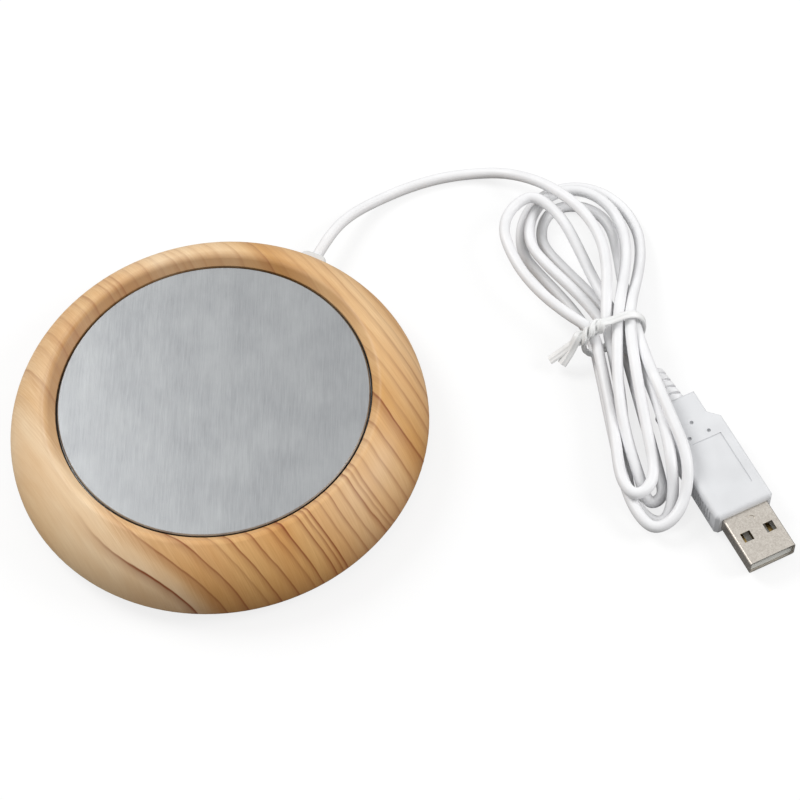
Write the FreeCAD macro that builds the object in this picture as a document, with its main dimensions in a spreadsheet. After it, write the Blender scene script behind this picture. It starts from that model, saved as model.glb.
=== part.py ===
import FreeCAD, Part
import math
import os
from types import SimpleNamespace

import Sketcher

# A mug warmer: a ring-shaped housing round a heated metal disc, with a cord tied in a hank and a USB plug.
# Lengths are millimetres and angles are degrees. The origin is on the table, under the disc's centre.

Vector = FreeCAD.Vector
UP = Vector(0, 0, 1)

DRIVING_SIZES = [
    ("ring_radius", 51.2, "housing, radius where it is widest"),
    ("ring_top", 19.2, "housing, height of the crest"),
    ("ring_underside", 1.9, "housing, height of its lower edge"),
    ("belly_height", 4.6, "housing, height where it is widest"),
    ("flank_bend", 15.5, "housing, radius of the outer flank's curve"),
    ("crown_bend", 1.5, "housing, radius of the crest's curve"),
    ("ring_wall", 2.4, "housing, wall behind the flank"),
    ("opening_radius", 38.2, "housing, radius of the hole round the plate"),
    ("ledge_radius", 40.6, "housing, radius of the recess for the plate's flange"),
    ("ledge_height", 16.3, "housing, underside of the lip over the flange"),
    ("shoulder_height", 15.0, "housing, underside of the thick top"),
    ("cavity_radius", 47.6, "housing, radius of the space inside"),
    ("outlet_angle", 60.0, "direction in which the cord leaves, from +X"),
    ("outlet_height", 5.4, "height of the cord's axis where it leaves"),
    ("plate_radius", 37.7, "heating plate, radius of the face"),
    ("plate_top", 17.5, "heating plate, height of the face"),
    ("plate_skin", 1.2, "heating plate, thickness"),
    ("plate_edge", 0.3, "heating plate, bevel round the face"),
    ("flange_radius", 40.2, "heating plate, radius of the flange"),
    ("flange_top", 15.8, "heating plate, top of the flange"),
    ("stud_circle", 20.0, "heating plate, circle of the three studs"),
    ("stud_radius", 2.0, "heating plate, radius of a stud"),
    ("film_radius", 34.0, "heater film and insulation, radius"),
    ("film_thick", 0.25, "heater film, thickness"),
    ("pad_thick", 2.0, "insulation pad, thickness"),
    ("backing_thick", 0.8, "backing plate, thickness"),
    ("wire_way_radius", 3.2, "hole for the wires through pad and backing plate"),
    ("wire_way_place", 14.0, "that hole, distance from the centre"),
    ("cover_radius", 47.3, "base cover, radius"),
    ("cover_bottom", 1.4, "base cover, height of its underside"),
    ("cover_thick", 2.0, "base cover, thickness"),
    ("rim_radius", 46.9, "base cover, radius of the locating rim"),
    ("rim_thick", 1.0, "base cover, thickness of the locating rim"),
    ("rim_top", 6.0, "base cover, top of the locating rim"),
    ("post_circle", 26.0, "base cover, circle of the posts under the backing plate"),
    ("post_radius", 3.0, "base cover, radius of a post"),
    ("foot_radius", 4.5, "foot, radius"),
    ("foot_circle", 38.0, "foot, circle"),
    ("foot_sunk", 0.8, "foot, depth in the base cover"),
    ("screw_circle", 43.2, "housing screws, circle"),
    ("boss_radius", 2.5, "housing screws, radius of the bosses"),
    ("boss_meet", 4.6, "housing screws, height where the bosses meet"),
    ("clamp_place", 37.0, "cord clamp, distance from the centre"),
    ("clamp_reach", 5.0, "cord clamp, from the cord's axis to a screw"),
    ("clamp_meet", 6.0, "cord clamp, underside"),
    ("clamp_thick", 2.4, "cord clamp, thickness"),
    ("gland_half_width", 3.6, "cable gland, half its width"),
    ("gland_end", 53.5, "cable gland, distance of its outer face from the centre"),
    ("gland_low", 3.5, "cable gland, underside"),
    ("gland_high", 7.7, "cable gland, top"),
    ("gland_round", 2.0, "cable gland, radius of the outer corners"),
    ("cord_radius", 1.4, "cord, radius"),
    ("wire_radius", 0.6, "insulated wire, radius"),
    ("clearance", 0.05, "free space round a piece that sits in another"),
    ("waist_x", 97.3, "hank, middle of the tied waist"),
    ("waist_y", 15.5, "hank, middle of the tied waist"),
    ("waist_tilt", 2.5, "hank, slant of the waist, anticlockwise from +Y"),
    ("waist_half_gap", 0.7, "hank, from the waist's middle to the innermost strand"),
    ("waist_step", 3.6, "hank, from strand to strand at the waist"),
    ("waist_lift", 1.25, "hank, rise over the tie"),
    ("layer_step", 3.3, "hank, from layer to layer"),
    ("upper_tilt", 10.5, "hank, direction of the upper lobe, anticlockwise from +Y"),
    ("upper_reach", 39.0, "hank, length of the upper lobe's innermost loop"),
    ("upper_half_width", 9.2, "hank, half width of the upper lobe's innermost loop"),
    ("upper_step", 4.6, "hank, from loop to loop in the upper lobe"),
    ("lower_tilt", 182.3, "hank, direction of the lower lobe, anticlockwise from +Y"),
    ("lower_reach", 48.5, "hank, length of the lower lobe's innermost loop"),
    ("lower_half_width", 2.5, "hank, half width of the lower lobe's innermost loop"),
    ("lower_step", 3.55, "hank, from loop to loop in the lower lobe"),
    ("plug_x", 122.3, "plug, where the metal shell starts"),
    ("plug_y", -39.4, "plug, where the metal shell starts"),
    ("plug_turn", -69.8, "plug, direction in which it points"),
    ("plug_half_height", 3.95, "plug, half the height of the moulded body"),
    ("plug_half_width", 7.6, "plug, half the width of the moulded body"),
    ("neck_half_width", 5.1, "plug, half the width of the neck"),
    ("body_length", 25.0, "plug, length of the wide part of the body"),
    ("neck_length", 34.0, "plug, length of body and neck"),
    ("relief_length", 10.5, "plug, length of the strain relief"),
    ("relief_radius", 3.1, "plug, radius of the strain relief at the neck"),
    ("relief_taper", 0.7, "plug, how much the strain relief narrows"),
    ("shell_width", 12.0, "plug, width of the metal shell"),
    ("shell_height", 4.5, "plug, height of the metal shell"),
    ("shell_length", 12.7, "plug, length of the metal shell outside the body"),
    ("shell_sunk", 6.0, "plug, length of the metal shell inside the body"),
    ("shell_wall", 0.35, "plug, thickness of the metal shell"),
    ("tie_x", 98.4, "twist tie, middle of the band"),
    ("tie_y", 13.2, "twist tie, middle of the band"),
    ("tie_turn", 18.0, "twist tie, direction of the band, from +X"),
    ("tie_width", 2.0, "twist tie, width"),
    ("tie_thick", 0.9, "twist tie, thickness"),
]

SCREW_ANGLE = 45
POST_ANGLE = 60
FEET = 4
HOUSING_SCREWS = 4
STUDS = 3
TURNS_IN_LAYER = 2
LAYERS = 2
RELIEF_GROOVES = 4
GRIP_GROOVES = 9
NEAR = 0.01

doc = FreeCAD.newDocument("mug_warmer")
sheet = doc.addObject("Spreadsheet::Sheet", "Sizes")


class Size:
    """A number from the sheet, with the expression that works it out there."""

    def __init__(self, number, text):
        self.number = number
        self.text = text

    def __add__(self, other):
        other = as_size(other)
        return Size(self.number + other.number, f"({self.text} + {other.text})")

    def __sub__(self, other):
        other = as_size(other)
        return Size(self.number - other.number, f"({self.text} - {other.text})")

    def __rsub__(self, other):
        return as_size(other) - self

    def __mul__(self, other):
        other = as_size(other)
        return Size(self.number * other.number, f"({self.text} * {other.text})")

    def __truediv__(self, other):
        other = as_size(other)
        return Size(self.number / other.number, f"({self.text} / {other.text})")

    def __neg__(self):
        return Size(-self.number, f"(-1 * {self.text})")

    def __float__(self):
        return self.number


def as_size(item):
    """The item itself if it is a Size, or a plain number made one."""
    return item if isinstance(item, Size) else Size(float(item), repr(float(item)))


def root(size):
    """The square root of a size's number."""
    return Size(math.sqrt(size.number), f"sqrt({size.text})")


def fill_sheet():
    """Write the driving sizes into the sheet and give them back by name."""
    for row, (alias, number, meaning) in enumerate(DRIVING_SIZES, start=1):
        sheet.set(f"A{row}", meaning)
        sheet.set(f"B{row}", str(number))
        sheet.setAlias(f"B{row}", alias)
    doc.recompute()
    return {alias: Size(float(sheet.get(alias)), f"Sizes.{alias}") for alias, _, _ in DRIVING_SIZES}


size = SimpleNamespace(**fill_sheet())

# Heights and places that follow from the driving sizes
cover_top = size.cover_bottom + size.cover_thick
plate_underside = size.plate_top - size.plate_skin
film_bottom = plate_underside - size.film_thick
pad_bottom = film_bottom - size.pad_thick
backing_bottom = pad_bottom - size.backing_thick
cord_way_radius = size.cord_radius + size.clearance
housing_placement = FreeCAD.Placement(Vector(), FreeCAD.Rotation(UP, float(size.outlet_angle)))
plug_placement = FreeCAD.Placement(
    Vector(float(size.plug_x), float(size.plug_y), float(size.plug_half_height)),
    FreeCAD.Rotation(UP, float(size.plug_turn)),
)
pieces = []


# Sketching and modelling steps that the pieces share

def new_body(label, placement):
    """An empty body that becomes one piece of the mug warmer."""
    body = doc.addObject("PartDesign::Body", label)
    body.Label = label
    body.Placement = placement
    pieces.append(body)
    return body


def new_feature(label, shape):
    """A piece whose shape is worked out directly."""
    piece = doc.addObject("Part::Feature", label)
    piece.Label = label
    piece.Shape = shape
    pieces.append(piece)
    return piece


def new_sketch(body, name, plane_role, offset=0):
    """A sketch on one of the body's own planes, moved along the plane's normal by offset."""
    sketch = body.newObject("Sketcher::SketchObject", name)
    plane = next(item for item in body.Origin.OriginFeatures if item.Role == plane_role)
    sketch.AttachmentSupport = [(plane, "")]
    sketch.MapMode = "FlatFace"
    sketch.setExpression("AttachmentOffset.Base.z", as_size(offset).text)
    return sketch


def pin_point(sketch, geometry, point, across, along):
    """Hold a point of the sketch at two sizes, measured from the sketch's origin."""
    for kind, distance, axis in (("DistanceX", across, -2), ("DistanceY", along, -1)):
        distance = as_size(distance)
        if abs(distance.number) < 1e-9:
            sketch.addConstraint(Sketcher.Constraint("PointOnObject", geometry, point, axis))
            continue
        rule = Sketcher.Constraint(kind, -1, 1, geometry, point, distance.number)
        bind_rule(sketch, rule, distance)


def bind_rule(sketch, rule, distance):
    """Add a dimension to the sketch and bind it to the sheet."""
    index = sketch.addConstraint(rule)
    name = f"size_{index}"
    sketch.renameConstraint(index, name)
    sketch.setExpression(f"Constraints.{name}", distance.text)


def arc_between(first, last, radius):
    """The short arc from first to last; a positive radius turns anticlockwise."""
    start, finish = (first, last) if radius > 0 else (last, first)
    chord = finish - start
    rise = math.sqrt(max(radius ** 2 - (chord.Length / 2) ** 2, 0))
    centre = (start + finish) * 0.5 + Vector(-chord.y, chord.x, 0) * (rise / chord.Length)
    angles = [math.atan2(point.y - centre.y, point.x - centre.x) for point in (start, finish)]
    return Part.ArcOfCircle(Part.Circle(centre, UP, abs(radius)), *angles)


def draw_outline(sketch, corners):
    """A closed outline. A corner is (across, along) or, before a curved side, (across, along, radius)."""
    ends = []
    for corner, following in zip(corners, corners[1:] + corners[:1]):
        first = Vector(float(corner[0]), float(corner[1]), 0)
        last = Vector(float(following[0]), float(following[1]), 0)
        if len(corner) == 2:
            ends.append((sketch.addGeometry(Part.LineSegment(first, last), False), 1, 2))
            continue
        radius = as_size(corner[2])
        side = sketch.addGeometry(arc_between(first, last, radius.number), False)
        ends.append((side, 1, 2) if radius.number > 0 else (side, 2, 1))
        length = radius if radius.number > 0 else -radius
        bind_rule(sketch, Sketcher.Constraint("Radius", side, length.number), length)
    for (side, _, finish), (following, start, _) in zip(ends, ends[1:] + ends[:1]):
        sketch.addConstraint(Sketcher.Constraint("Coincident", side, finish, following, start))
    for corner, (side, start, _) in zip(corners, ends):
        pin_point(sketch, side, start, corner[0], corner[1])


def draw_circle(sketch, across, along, radius):
    """A circle at a place in the sketch."""
    centre = Vector(float(across), float(along), 0)
    circle = sketch.addGeometry(Part.Circle(centre, UP, float(radius)), False)
    bind_rule(sketch, Sketcher.Constraint("Radius", circle, float(radius)), as_size(radius))
    pin_point(sketch, circle, 3, across, along)


def draw_box(sketch, left, right, low, high):
    """A rectangle between four sizes."""
    draw_outline(sketch, [(left, low), (right, low), (right, high), (left, high)])


def turn_outline(body, name, corners, axis="V_Axis"):
    """Turn a half section about the body's axis."""
    sketch = new_sketch(body, f"{name}_section", "XZ_Plane")
    draw_outline(sketch, corners)
    turned = body.newObject("PartDesign::Revolution", name)
    turned.Profile = sketch
    turned.ReferenceAxis = (sketch, [axis])
    turned.Angle = 360
    return turned


def pad_sketch(body, name, sketch, length):
    """Thicken a sketch along its normal."""
    pad = body.newObject("PartDesign::Pad", name)
    pad.Profile = sketch
    pad.setExpression("Length", as_size(length).text)
    return pad


def cut_sketch(body, name, sketch, depth, forwards=False):
    """Cut a sketch's outline into the body, against its normal or forwards along it."""
    doc.recompute()
    before = body.Shape.Volume
    pocket = body.newObject("PartDesign::Pocket", name)
    pocket.Profile = sketch
    pocket.Reversed = forwards
    pocket.setExpression("Length", as_size(depth).text)
    doc.recompute()
    if body.Shape.Volume >= before:
        raise RuntimeError(f"{body.Label}: {name} cuts nothing")
    return pocket


def round_pad(body, name, centre, radius, low, high, bore=None):
    """An upright round boss from low to high, with a bore through it if one is given."""
    sketch = new_sketch(body, f"{name}_plan", "XY_Plane", low)
    draw_circle(sketch, *centre, radius)
    if bore is not None:
        draw_circle(sketch, *centre, bore)
    return pad_sketch(body, name, sketch, as_size(high) - low)


def round_cut(body, name, centre, radius, low, high):
    """An upright round hole from low to high."""
    sketch = new_sketch(body, f"{name}_plan", "XY_Plane", high)
    draw_circle(sketch, *centre, radius)
    return cut_sketch(body, name, sketch, as_size(high) - low)


def repeat_round(body, name, features, count):
    """Repeat features evenly round the body's upright axis."""
    doc.recompute()
    pattern = body.newObject("PartDesign::PolarPattern", name)
    pattern.Originals = features
    pattern.Axis = (next(item for item in body.Origin.OriginFeatures if item.Role == "Z_Axis"), [""])
    pattern.Angle = 360
    pattern.Occurrences = count
    body.Tip = pattern
    return pattern


def repeat_along(body, name, features, count, length):
    """Repeat features evenly along the body's X axis, over a length."""
    doc.recompute()
    pattern = body.newObject("PartDesign::LinearPattern", name)
    pattern.Originals = features
    pattern.Direction = (next(item for item in body.Origin.OriginFeatures if item.Role == "X_Axis"), [""])
    pattern.setExpression("Length", as_size(length).text)
    pattern.Occurrences = count
    body.Tip = pattern
    return pattern


def round_edges(body, name, radius, wanted):
    """Round the edges of the body that the function wanted picks."""
    doc.recompute()
    base = body.Tip
    picked = [f"Edge{number}" for number, edge in enumerate(base.Shape.Edges, start=1) if wanted(edge)]
    fillet = body.newObject("PartDesign::Fillet", name)
    fillet.Base = (base, picked)
    fillet.Radius = radius
    return fillet


def at_angle(circle, angle):
    """A place on a circle round the origin, at an angle in degrees."""
    angle = math.radians(angle)
    return as_size(circle) * math.cos(angle), as_size(circle) * math.sin(angle)


# The housing, which holds the plate from above

def make_ring_housing():
    """The wood-look ring: a hollow turned shell with four screw bosses and a slot for the gland."""
    body = new_body("ring_housing", housing_placement)
    flank_centre = size.ring_radius - size.flank_bend
    crown_height = size.ring_top - size.crown_bend
    bend_gap = size.flank_bend - size.crown_bend
    crown_rise = crown_height - size.belly_height
    crown_run = root(bend_gap * bend_gap - crown_rise * crown_rise)
    crown_centre = flank_centre + crown_run
    diagonal = size.crown_bend * math.sqrt(0.5)
    inner_bend = size.flank_bend - size.ring_wall
    shoulder_rise = size.shoulder_height - size.belly_height
    shoulder_radius = flank_centre + root(inner_bend * inner_bend - shoulder_rise * shoulder_rise)
    cavity_run = size.cavity_radius - flank_centre
    cavity_height = size.belly_height + root(inner_bend * inner_bend - cavity_run * cavity_run)
    curl = size.belly_height - size.ring_underside
    turn_outline(body, "shell", [
        (size.cavity_radius, size.ring_underside),
        (size.ring_radius - curl, size.ring_underside, curl),
        (size.ring_radius, size.belly_height, size.flank_bend),
        (flank_centre + size.flank_bend * crown_run / bend_gap,
         size.belly_height + size.flank_bend * crown_rise / bend_gap, size.crown_bend),
        (crown_centre - diagonal, crown_height + diagonal),
        (size.opening_radius, crown_height + diagonal * 2 - crown_centre + size.opening_radius),
        (size.opening_radius, size.ledge_height),
        (size.ledge_radius, size.ledge_height),
        (size.ledge_radius, size.shoulder_height),
        (shoulder_radius, size.shoulder_height, -inner_bend),
        (size.cavity_radius, cavity_height),
    ])
    boss_sunk = 0.5
    pilot_radius = 1.1
    boss = round_pad(body, "boss", at_angle(size.screw_circle, SCREW_ANGLE), size.boss_radius,
                     size.boss_meet, size.shoulder_height + boss_sunk, pilot_radius)
    repeat_round(body, "bosses", [boss], HOUSING_SCREWS)
    slot_play = 0.1
    slot = new_sketch(body, "slot_outline", "YZ_Plane")
    half_slot = size.gland_half_width + slot_play
    draw_box(slot, -half_slot, half_slot, size.gland_low - slot_play, size.gland_high + slot_play)
    cut_sketch(body, "slot", slot, size.ring_radius + 1, forwards=True)


def make_base_cover():
    """The white cover underneath, with posts, screw seats, foot pockets and the cord clamp's bosses."""
    body = new_body("base_cover", housing_placement)
    edge = 0.5
    rim_inside = size.rim_radius - size.rim_thick
    turn_outline(body, "disc", [
        (0, size.cover_bottom),
        (size.cover_radius - edge, size.cover_bottom),
        (size.cover_radius, size.cover_bottom + edge),
        (size.cover_radius, cover_top),
        (size.rim_radius, cover_top),
        (size.rim_radius, size.rim_top),
        (rim_inside, size.rim_top),
        (rim_inside, cover_top),
        (0, cover_top),
    ])
    post_place = at_angle(size.post_circle, POST_ANGLE)
    post = round_pad(body, "post", post_place, size.post_radius, cover_top, backing_bottom)
    repeat_round(body, "posts", [post], STUDS)
    shank_way_radius = 1.3
    head_way_radius = 2.7
    head_way_depth = 1.8
    screw_place = at_angle(size.screw_circle, SCREW_ANGLE)
    seat = round_pad(body, "seat", screw_place, size.boss_radius, cover_top, size.boss_meet)
    shank_way = round_cut(body, "shank_way", screw_place, shank_way_radius, size.cover_bottom, size.boss_meet)
    head_way = round_cut(body, "head_way", screw_place, head_way_radius,
                         size.cover_bottom, size.cover_bottom + head_way_depth)
    repeat_round(body, "seats", [seat, shank_way, head_way], HOUSING_SCREWS)
    foot_play = 0.1
    pocket = round_cut(body, "pocket", (size.foot_circle, 0), size.foot_radius + foot_play,
                       size.cover_bottom, size.cover_bottom + size.foot_sunk)
    repeat_round(body, "pockets", [pocket], FEET)
    clamp_boss_radius = 2.2
    clamp_pilot_radius = 1.0
    for side, name in ((-1, "right"), (1, "left")):
        place = (size.clamp_place, size.clamp_reach * side)
        round_pad(body, f"clamp_boss_{name}", place, clamp_boss_radius, cover_top, size.clamp_meet)
        round_cut(body, f"clamp_pilot_{name}", place, clamp_pilot_radius, cover_top, size.clamp_meet)
    notch_play = 0.15
    notch = new_sketch(body, "notch_outline", "YZ_Plane")
    half_notch = size.gland_half_width + notch_play
    draw_box(notch, -half_notch, half_notch, cover_top, size.rim_top + 1)
    cut_sketch(body, "notch", notch, size.cover_radius + 1, forwards=True)


def make_rubber_feet():
    """Four round rubber feet, set into the cover."""
    body = new_body("rubber_feet", housing_placement)
    soft_edge = 0.4
    foot_top = size.cover_bottom + size.foot_sunk
    foot = round_pad(body, "foot", (size.foot_circle, 0), size.foot_radius, 0, foot_top)
    repeat_round(body, "feet", [foot], FEET)
    round_edges(body, "soft_edge", soft_edge, lambda edge: edge.BoundBox.ZMax < NEAR)


def add_screws(body, places, head, shank):
    """Screws with a cross recess. A head is (radius, outside, inside), a shank (radius, start, tip)."""
    head_radius, head_outside, head_inside = head
    shank_radius, shank_start, shank_tip = shank
    upwards = float(shank_tip) > float(head_outside)
    recess_long = as_size(head_radius) * 0.6
    recess_wide = as_size(head_radius) * 0.2
    recess_depth = 0.7
    features = []
    for number, (across, along) in enumerate(places):
        head_ends = (head_outside, head_inside) if upwards else (head_inside, head_outside)
        shank_ends = (shank_start, shank_tip) if upwards else (shank_tip, shank_start)
        features.append(round_pad(body, f"head_{number}", (across, along), head_radius, *head_ends))
        features.append(round_pad(body, f"shank_{number}", (across, along), shank_radius, *shank_ends))
        for name, reach, width in (("long", recess_long, recess_wide), ("cross", recess_wide, recess_long)):
            recess = new_sketch(body, f"recess_{number}_{name}", "XY_Plane", head_outside)
            draw_box(recess, as_size(across) - reach, as_size(across) + reach,
                     as_size(along) - width, as_size(along) + width)
            features.append(cut_sketch(body, f"slot_{number}_{name}", recess, recess_depth, forwards=upwards))
    return features


def make_housing_screws():
    """Four screws from below, through the cover and into the housing's bosses."""
    body = new_body("housing_screws", housing_placement)
    head_top = size.cover_bottom + 1.8
    head = (2.4, head_top - 1.5, head_top)
    shank = (1.05, head_top, 12.0)
    screws = add_screws(body, [at_angle(size.screw_circle, SCREW_ANGLE)], head, shank)
    repeat_round(body, "screws", screws, HOUSING_SCREWS)


# The heater, from the plate downwards

def make_heating_plate():
    """The aluminium plate: a shallow dish upside down, with a flange under the lip and three tapped studs."""
    body = new_body("heating_plate", housing_placement)
    dish_inside = size.plate_radius - size.plate_skin
    flange_bottom = size.flange_top - size.plate_skin
    turn_outline(body, "dish", [
        (0, plate_underside),
        (dish_inside, plate_underside),
        (dish_inside, flange_bottom),
        (size.flange_radius, flange_bottom),
        (size.flange_radius, size.flange_top),
        (size.plate_radius, size.flange_top),
        (size.plate_radius, size.plate_top - size.plate_edge),
        (size.plate_radius - size.plate_edge, size.plate_top),
        (0, size.plate_top),
    ])
    thread_radius = 0.95
    stud = round_pad(body, "stud", (size.stud_circle, 0), size.stud_radius, pad_bottom, plate_underside,
                     thread_radius)
    repeat_round(body, "studs", [stud], STUDS)


def make_plate_gasket():
    """The dark silicone ring between the plate's flange and the housing's lip."""
    body = new_body("plate_gasket", housing_placement)
    play = 0.15
    inside = size.plate_radius + play
    turn_outline(body, "ring", [
        (inside, size.flange_top),
        (size.flange_radius, size.flange_top),
        (size.flange_radius, size.ledge_height),
        (inside, size.ledge_height),
    ])


def holed_disc(label, radius, low, high, stud_hole, wire_hole):
    """A round sheet under the plate, with holes for the studs and, if asked, for the wires."""
    body = new_body(label, housing_placement)
    round_pad(body, "sheet", (0, 0), radius, low, high)
    hole = round_cut(body, "stud_hole", (size.stud_circle, 0), stud_hole, low, high)
    repeat_round(body, "stud_holes", [hole], STUDS)
    if wire_hole:
        round_cut(body, "wire_hole", (0, size.wire_way_place), size.wire_way_radius, low, high)


def make_heater_stack():
    """The heater film, the pad that insulates it and the steel plate that backs them."""
    stud_hole = size.stud_radius + 0.2
    screw_hole = 1.15
    backing_radius = size.film_radius + 0.6
    holed_disc("heater_film", size.film_radius, film_bottom, plate_underside, stud_hole, False)
    holed_disc("insulation_pad", size.film_radius, pad_bottom, film_bottom, stud_hole, True)
    holed_disc("backing_plate", backing_radius, backing_bottom, pad_bottom, screw_hole, True)


def make_backing_screws():
    """Three screws that pull the backing plate up against the studs."""
    body = new_body("backing_screws", housing_placement)
    head = (2.0, backing_bottom - 1.2, backing_bottom)
    shank = (0.9, backing_bottom, film_bottom)
    screws = add_screws(body, [(size.stud_circle, 0)], head, shank)
    repeat_round(body, "screws", screws, STUDS)


CUTOUT_PLACE = -10.0
CUTOUT_RADIUS = 2.1
CUTOUT_HALF_LENGTH = 5.5
STRAP_THICK = 0.4
STRAP_WIDTH = 5.0
STRAP_REACH = 6.5
cutout_height = float(backing_bottom) - CUTOUT_RADIUS


def make_thermal_cutout():
    """The sealed thermal cut-out, lying against the backing plate."""
    barrel = doc.addObject("Part::Cylinder", "thermal_cutout")
    barrel.Label = "thermal_cutout"
    barrel.Radius = CUTOUT_RADIUS
    barrel.Height = 2 * CUTOUT_HALF_LENGTH
    end = Vector(CUTOUT_PLACE, CUTOUT_HALF_LENGTH, cutout_height)
    local = FreeCAD.Placement(end, FreeCAD.Rotation(Vector(1, 0, 0), 90))
    barrel.Placement = housing_placement.multiply(local)
    pieces.append(barrel)


def make_cutout_strap():
    """The spring steel strap that holds the cut-out against the backing plate."""
    body = new_body("cutout_strap", housing_placement)
    sketch = new_sketch(body, "strap_outline", "XZ_Plane", -STRAP_WIDTH / 2)
    inside = CUTOUT_RADIUS + float(size.clearance)
    outside = inside + STRAP_THICK
    flat_low = backing_bottom - STRAP_THICK
    draw_outline(sketch, [
        (CUTOUT_PLACE - STRAP_REACH, flat_low),
        (CUTOUT_PLACE - outside, flat_low),
        (CUTOUT_PLACE - outside, cutout_height, outside),
        (CUTOUT_PLACE, cutout_height - outside, outside),
        (CUTOUT_PLACE + outside, cutout_height),
        (CUTOUT_PLACE + outside, flat_low),
        (CUTOUT_PLACE + STRAP_REACH, flat_low),
        (CUTOUT_PLACE + STRAP_REACH, backing_bottom),
        (CUTOUT_PLACE + inside, backing_bottom),
        (CUTOUT_PLACE + inside, cutout_height, -inside),
        (CUTOUT_PLACE, cutout_height - inside, -inside),
        (CUTOUT_PLACE - inside, cutout_height),
        (CUTOUT_PLACE - inside, backing_bottom),
        (CUTOUT_PLACE - STRAP_REACH, backing_bottom),
    ])
    pad_sketch(body, "strap", sketch, STRAP_WIDTH)


# Round tubes along a route of straight runs and arcs

def unit(vector):
    """A copy of the vector, one long."""
    return vector * (1 / vector.Length)


def round_route(points):
    """The edges of a route through points whose corners are rounded, and the radii of its arcs."""
    rounding = 0.45
    edges = []
    radii = []
    last = points[0]
    for before, corner, after in zip(points, points[1:], points[2:]):
        back = before - corner
        onward = after - corner
        cut = rounding * min(back.Length, onward.Length)
        half_turn = (math.pi - back.getAngle(onward)) / 2
        radius = cut / math.tan(half_turn)
        inward = unit(unit(back) + unit(onward)) * (radius / math.cos(half_turn) - radius)
        start = corner + unit(back) * cut
        finish = corner + unit(onward) * cut
        edges.append(Part.LineSegment(last, start).toShape())
        edges.append(Part.Arc(start, corner + inward, finish).toShape())
        radii.append(radius)
        last = finish
    edges.append(Part.LineSegment(last, points[-1]).toShape())
    return edges, radii


def sweep_round(edges, radius):
    """A solid round tube along edges that run on from each other."""
    path = Part.Wire(edges)
    first = edges[0]
    start = first.valueAt(first.FirstParameter)
    heading = first.tangentAt(first.FirstParameter)
    section = Part.Wire([Part.makeCircle(float(radius), start, heading)])
    return path.makePipeShell([section], True, False), path


def report_tube(label, tube, path, radius, radii):
    """Print a tube's length, its tightest bends and how its volume compares with section times length."""
    expected = math.pi * float(radius) ** 2 * path.Length
    print(f"{label}: length {path.Length:.1f}, volume {tube.Volume / expected:.4f} of section x length,"
          f" radii {', '.join(f'{bend:.1f}' for bend in radii)}")


def make_tube(label, points, radius, placement=FreeCAD.Placement()):
    """A cord or wire through hand-chosen points."""
    edges, radii = round_route([Vector(*point) for point in points])
    tube, path = sweep_round(edges, radius)
    report_tube(label, tube, path, radius, radii)
    new_feature(label, tube).Placement = placement


WIRE_OFFSET = 0.65
WIRE_START = 30.0
WIRE_ENTRY = 1.2
WIRE_END = float(film_bottom)
CORD_AXIS = float(size.outlet_height)
WIRE_WAY = float(size.wire_way_place)

RED_ROUTE = [
    (WIRE_START, WIRE_OFFSET, CORD_AXIS),
    (26.0, WIRE_OFFSET, CORD_AXIS),
    (18.0, 4.0, 6.0),
    (9.0, 10.0, 7.5),
    (WIRE_ENTRY, WIRE_WAY, 9.0),
    (WIRE_ENTRY, WIRE_WAY, WIRE_END),
]
BLACK_ROUTE = [
    (WIRE_START, -WIRE_OFFSET, CORD_AXIS),
    (26.0, -WIRE_OFFSET, CORD_AXIS),
    (16.0, -8.0, 6.0),
    (3.0, -14.5, 8.0),
    (CUTOUT_PLACE, -14.0, cutout_height),
    (CUTOUT_PLACE, -CUTOUT_HALF_LENGTH, cutout_height),
]
LINK_ROUTE = [
    (CUTOUT_PLACE, CUTOUT_HALF_LENGTH, cutout_height),
    (CUTOUT_PLACE, 10.0, cutout_height),
    (-6.0, WIRE_WAY, cutout_height - 1.0),
    (-WIRE_ENTRY, WIRE_WAY, 10.5),
    (-WIRE_ENTRY, WIRE_WAY, WIRE_END),
]


def make_wires():
    """The two insulated conductors from the cord and the link between cut-out and heater."""
    for label, route in (("wire_red", RED_ROUTE), ("wire_black", BLACK_ROUTE), ("wire_link", LINK_ROUTE)):
        make_tube(label, route, size.wire_radius, housing_placement)


def make_shrink_sleeves():
    """Two heat-shrink sleeves over the joints at the cut-out's ends."""
    body = new_body("shrink_sleeves", housing_placement)
    sleeve_length = 2.4
    sleeve_radius = 1.0
    sleeve_bore = size.wire_radius + size.clearance
    for side, start in (("near", -CUTOUT_HALF_LENGTH - sleeve_length), ("far", CUTOUT_HALF_LENGTH)):
        sketch = new_sketch(body, f"sleeve_{side}_end", "XZ_Plane", -start)
        draw_circle(sketch, CUTOUT_PLACE, cutout_height, sleeve_radius)
        draw_circle(sketch, CUTOUT_PLACE, cutout_height, sleeve_bore)
        pad = pad_sketch(body, f"sleeve_{side}", sketch, sleeve_length)
        pad.Reversed = True


def make_inner_cord():
    """The cord's end inside the housing, from the clamp to the gland's outer face."""
    cord = doc.addObject("Part::Cylinder", "cord_inner_end")
    cord.Label = "cord_inner_end"
    cord.setExpression("Radius", size.cord_radius.text)
    cord.setExpression("Height", (size.gland_end - WIRE_START).text)
    local = FreeCAD.Placement(Vector(WIRE_START, 0, CORD_AXIS), FreeCAD.Rotation(Vector(0, 1, 0), 90))
    cord.Placement = housing_placement.multiply(local)
    pieces.append(cord)


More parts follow.
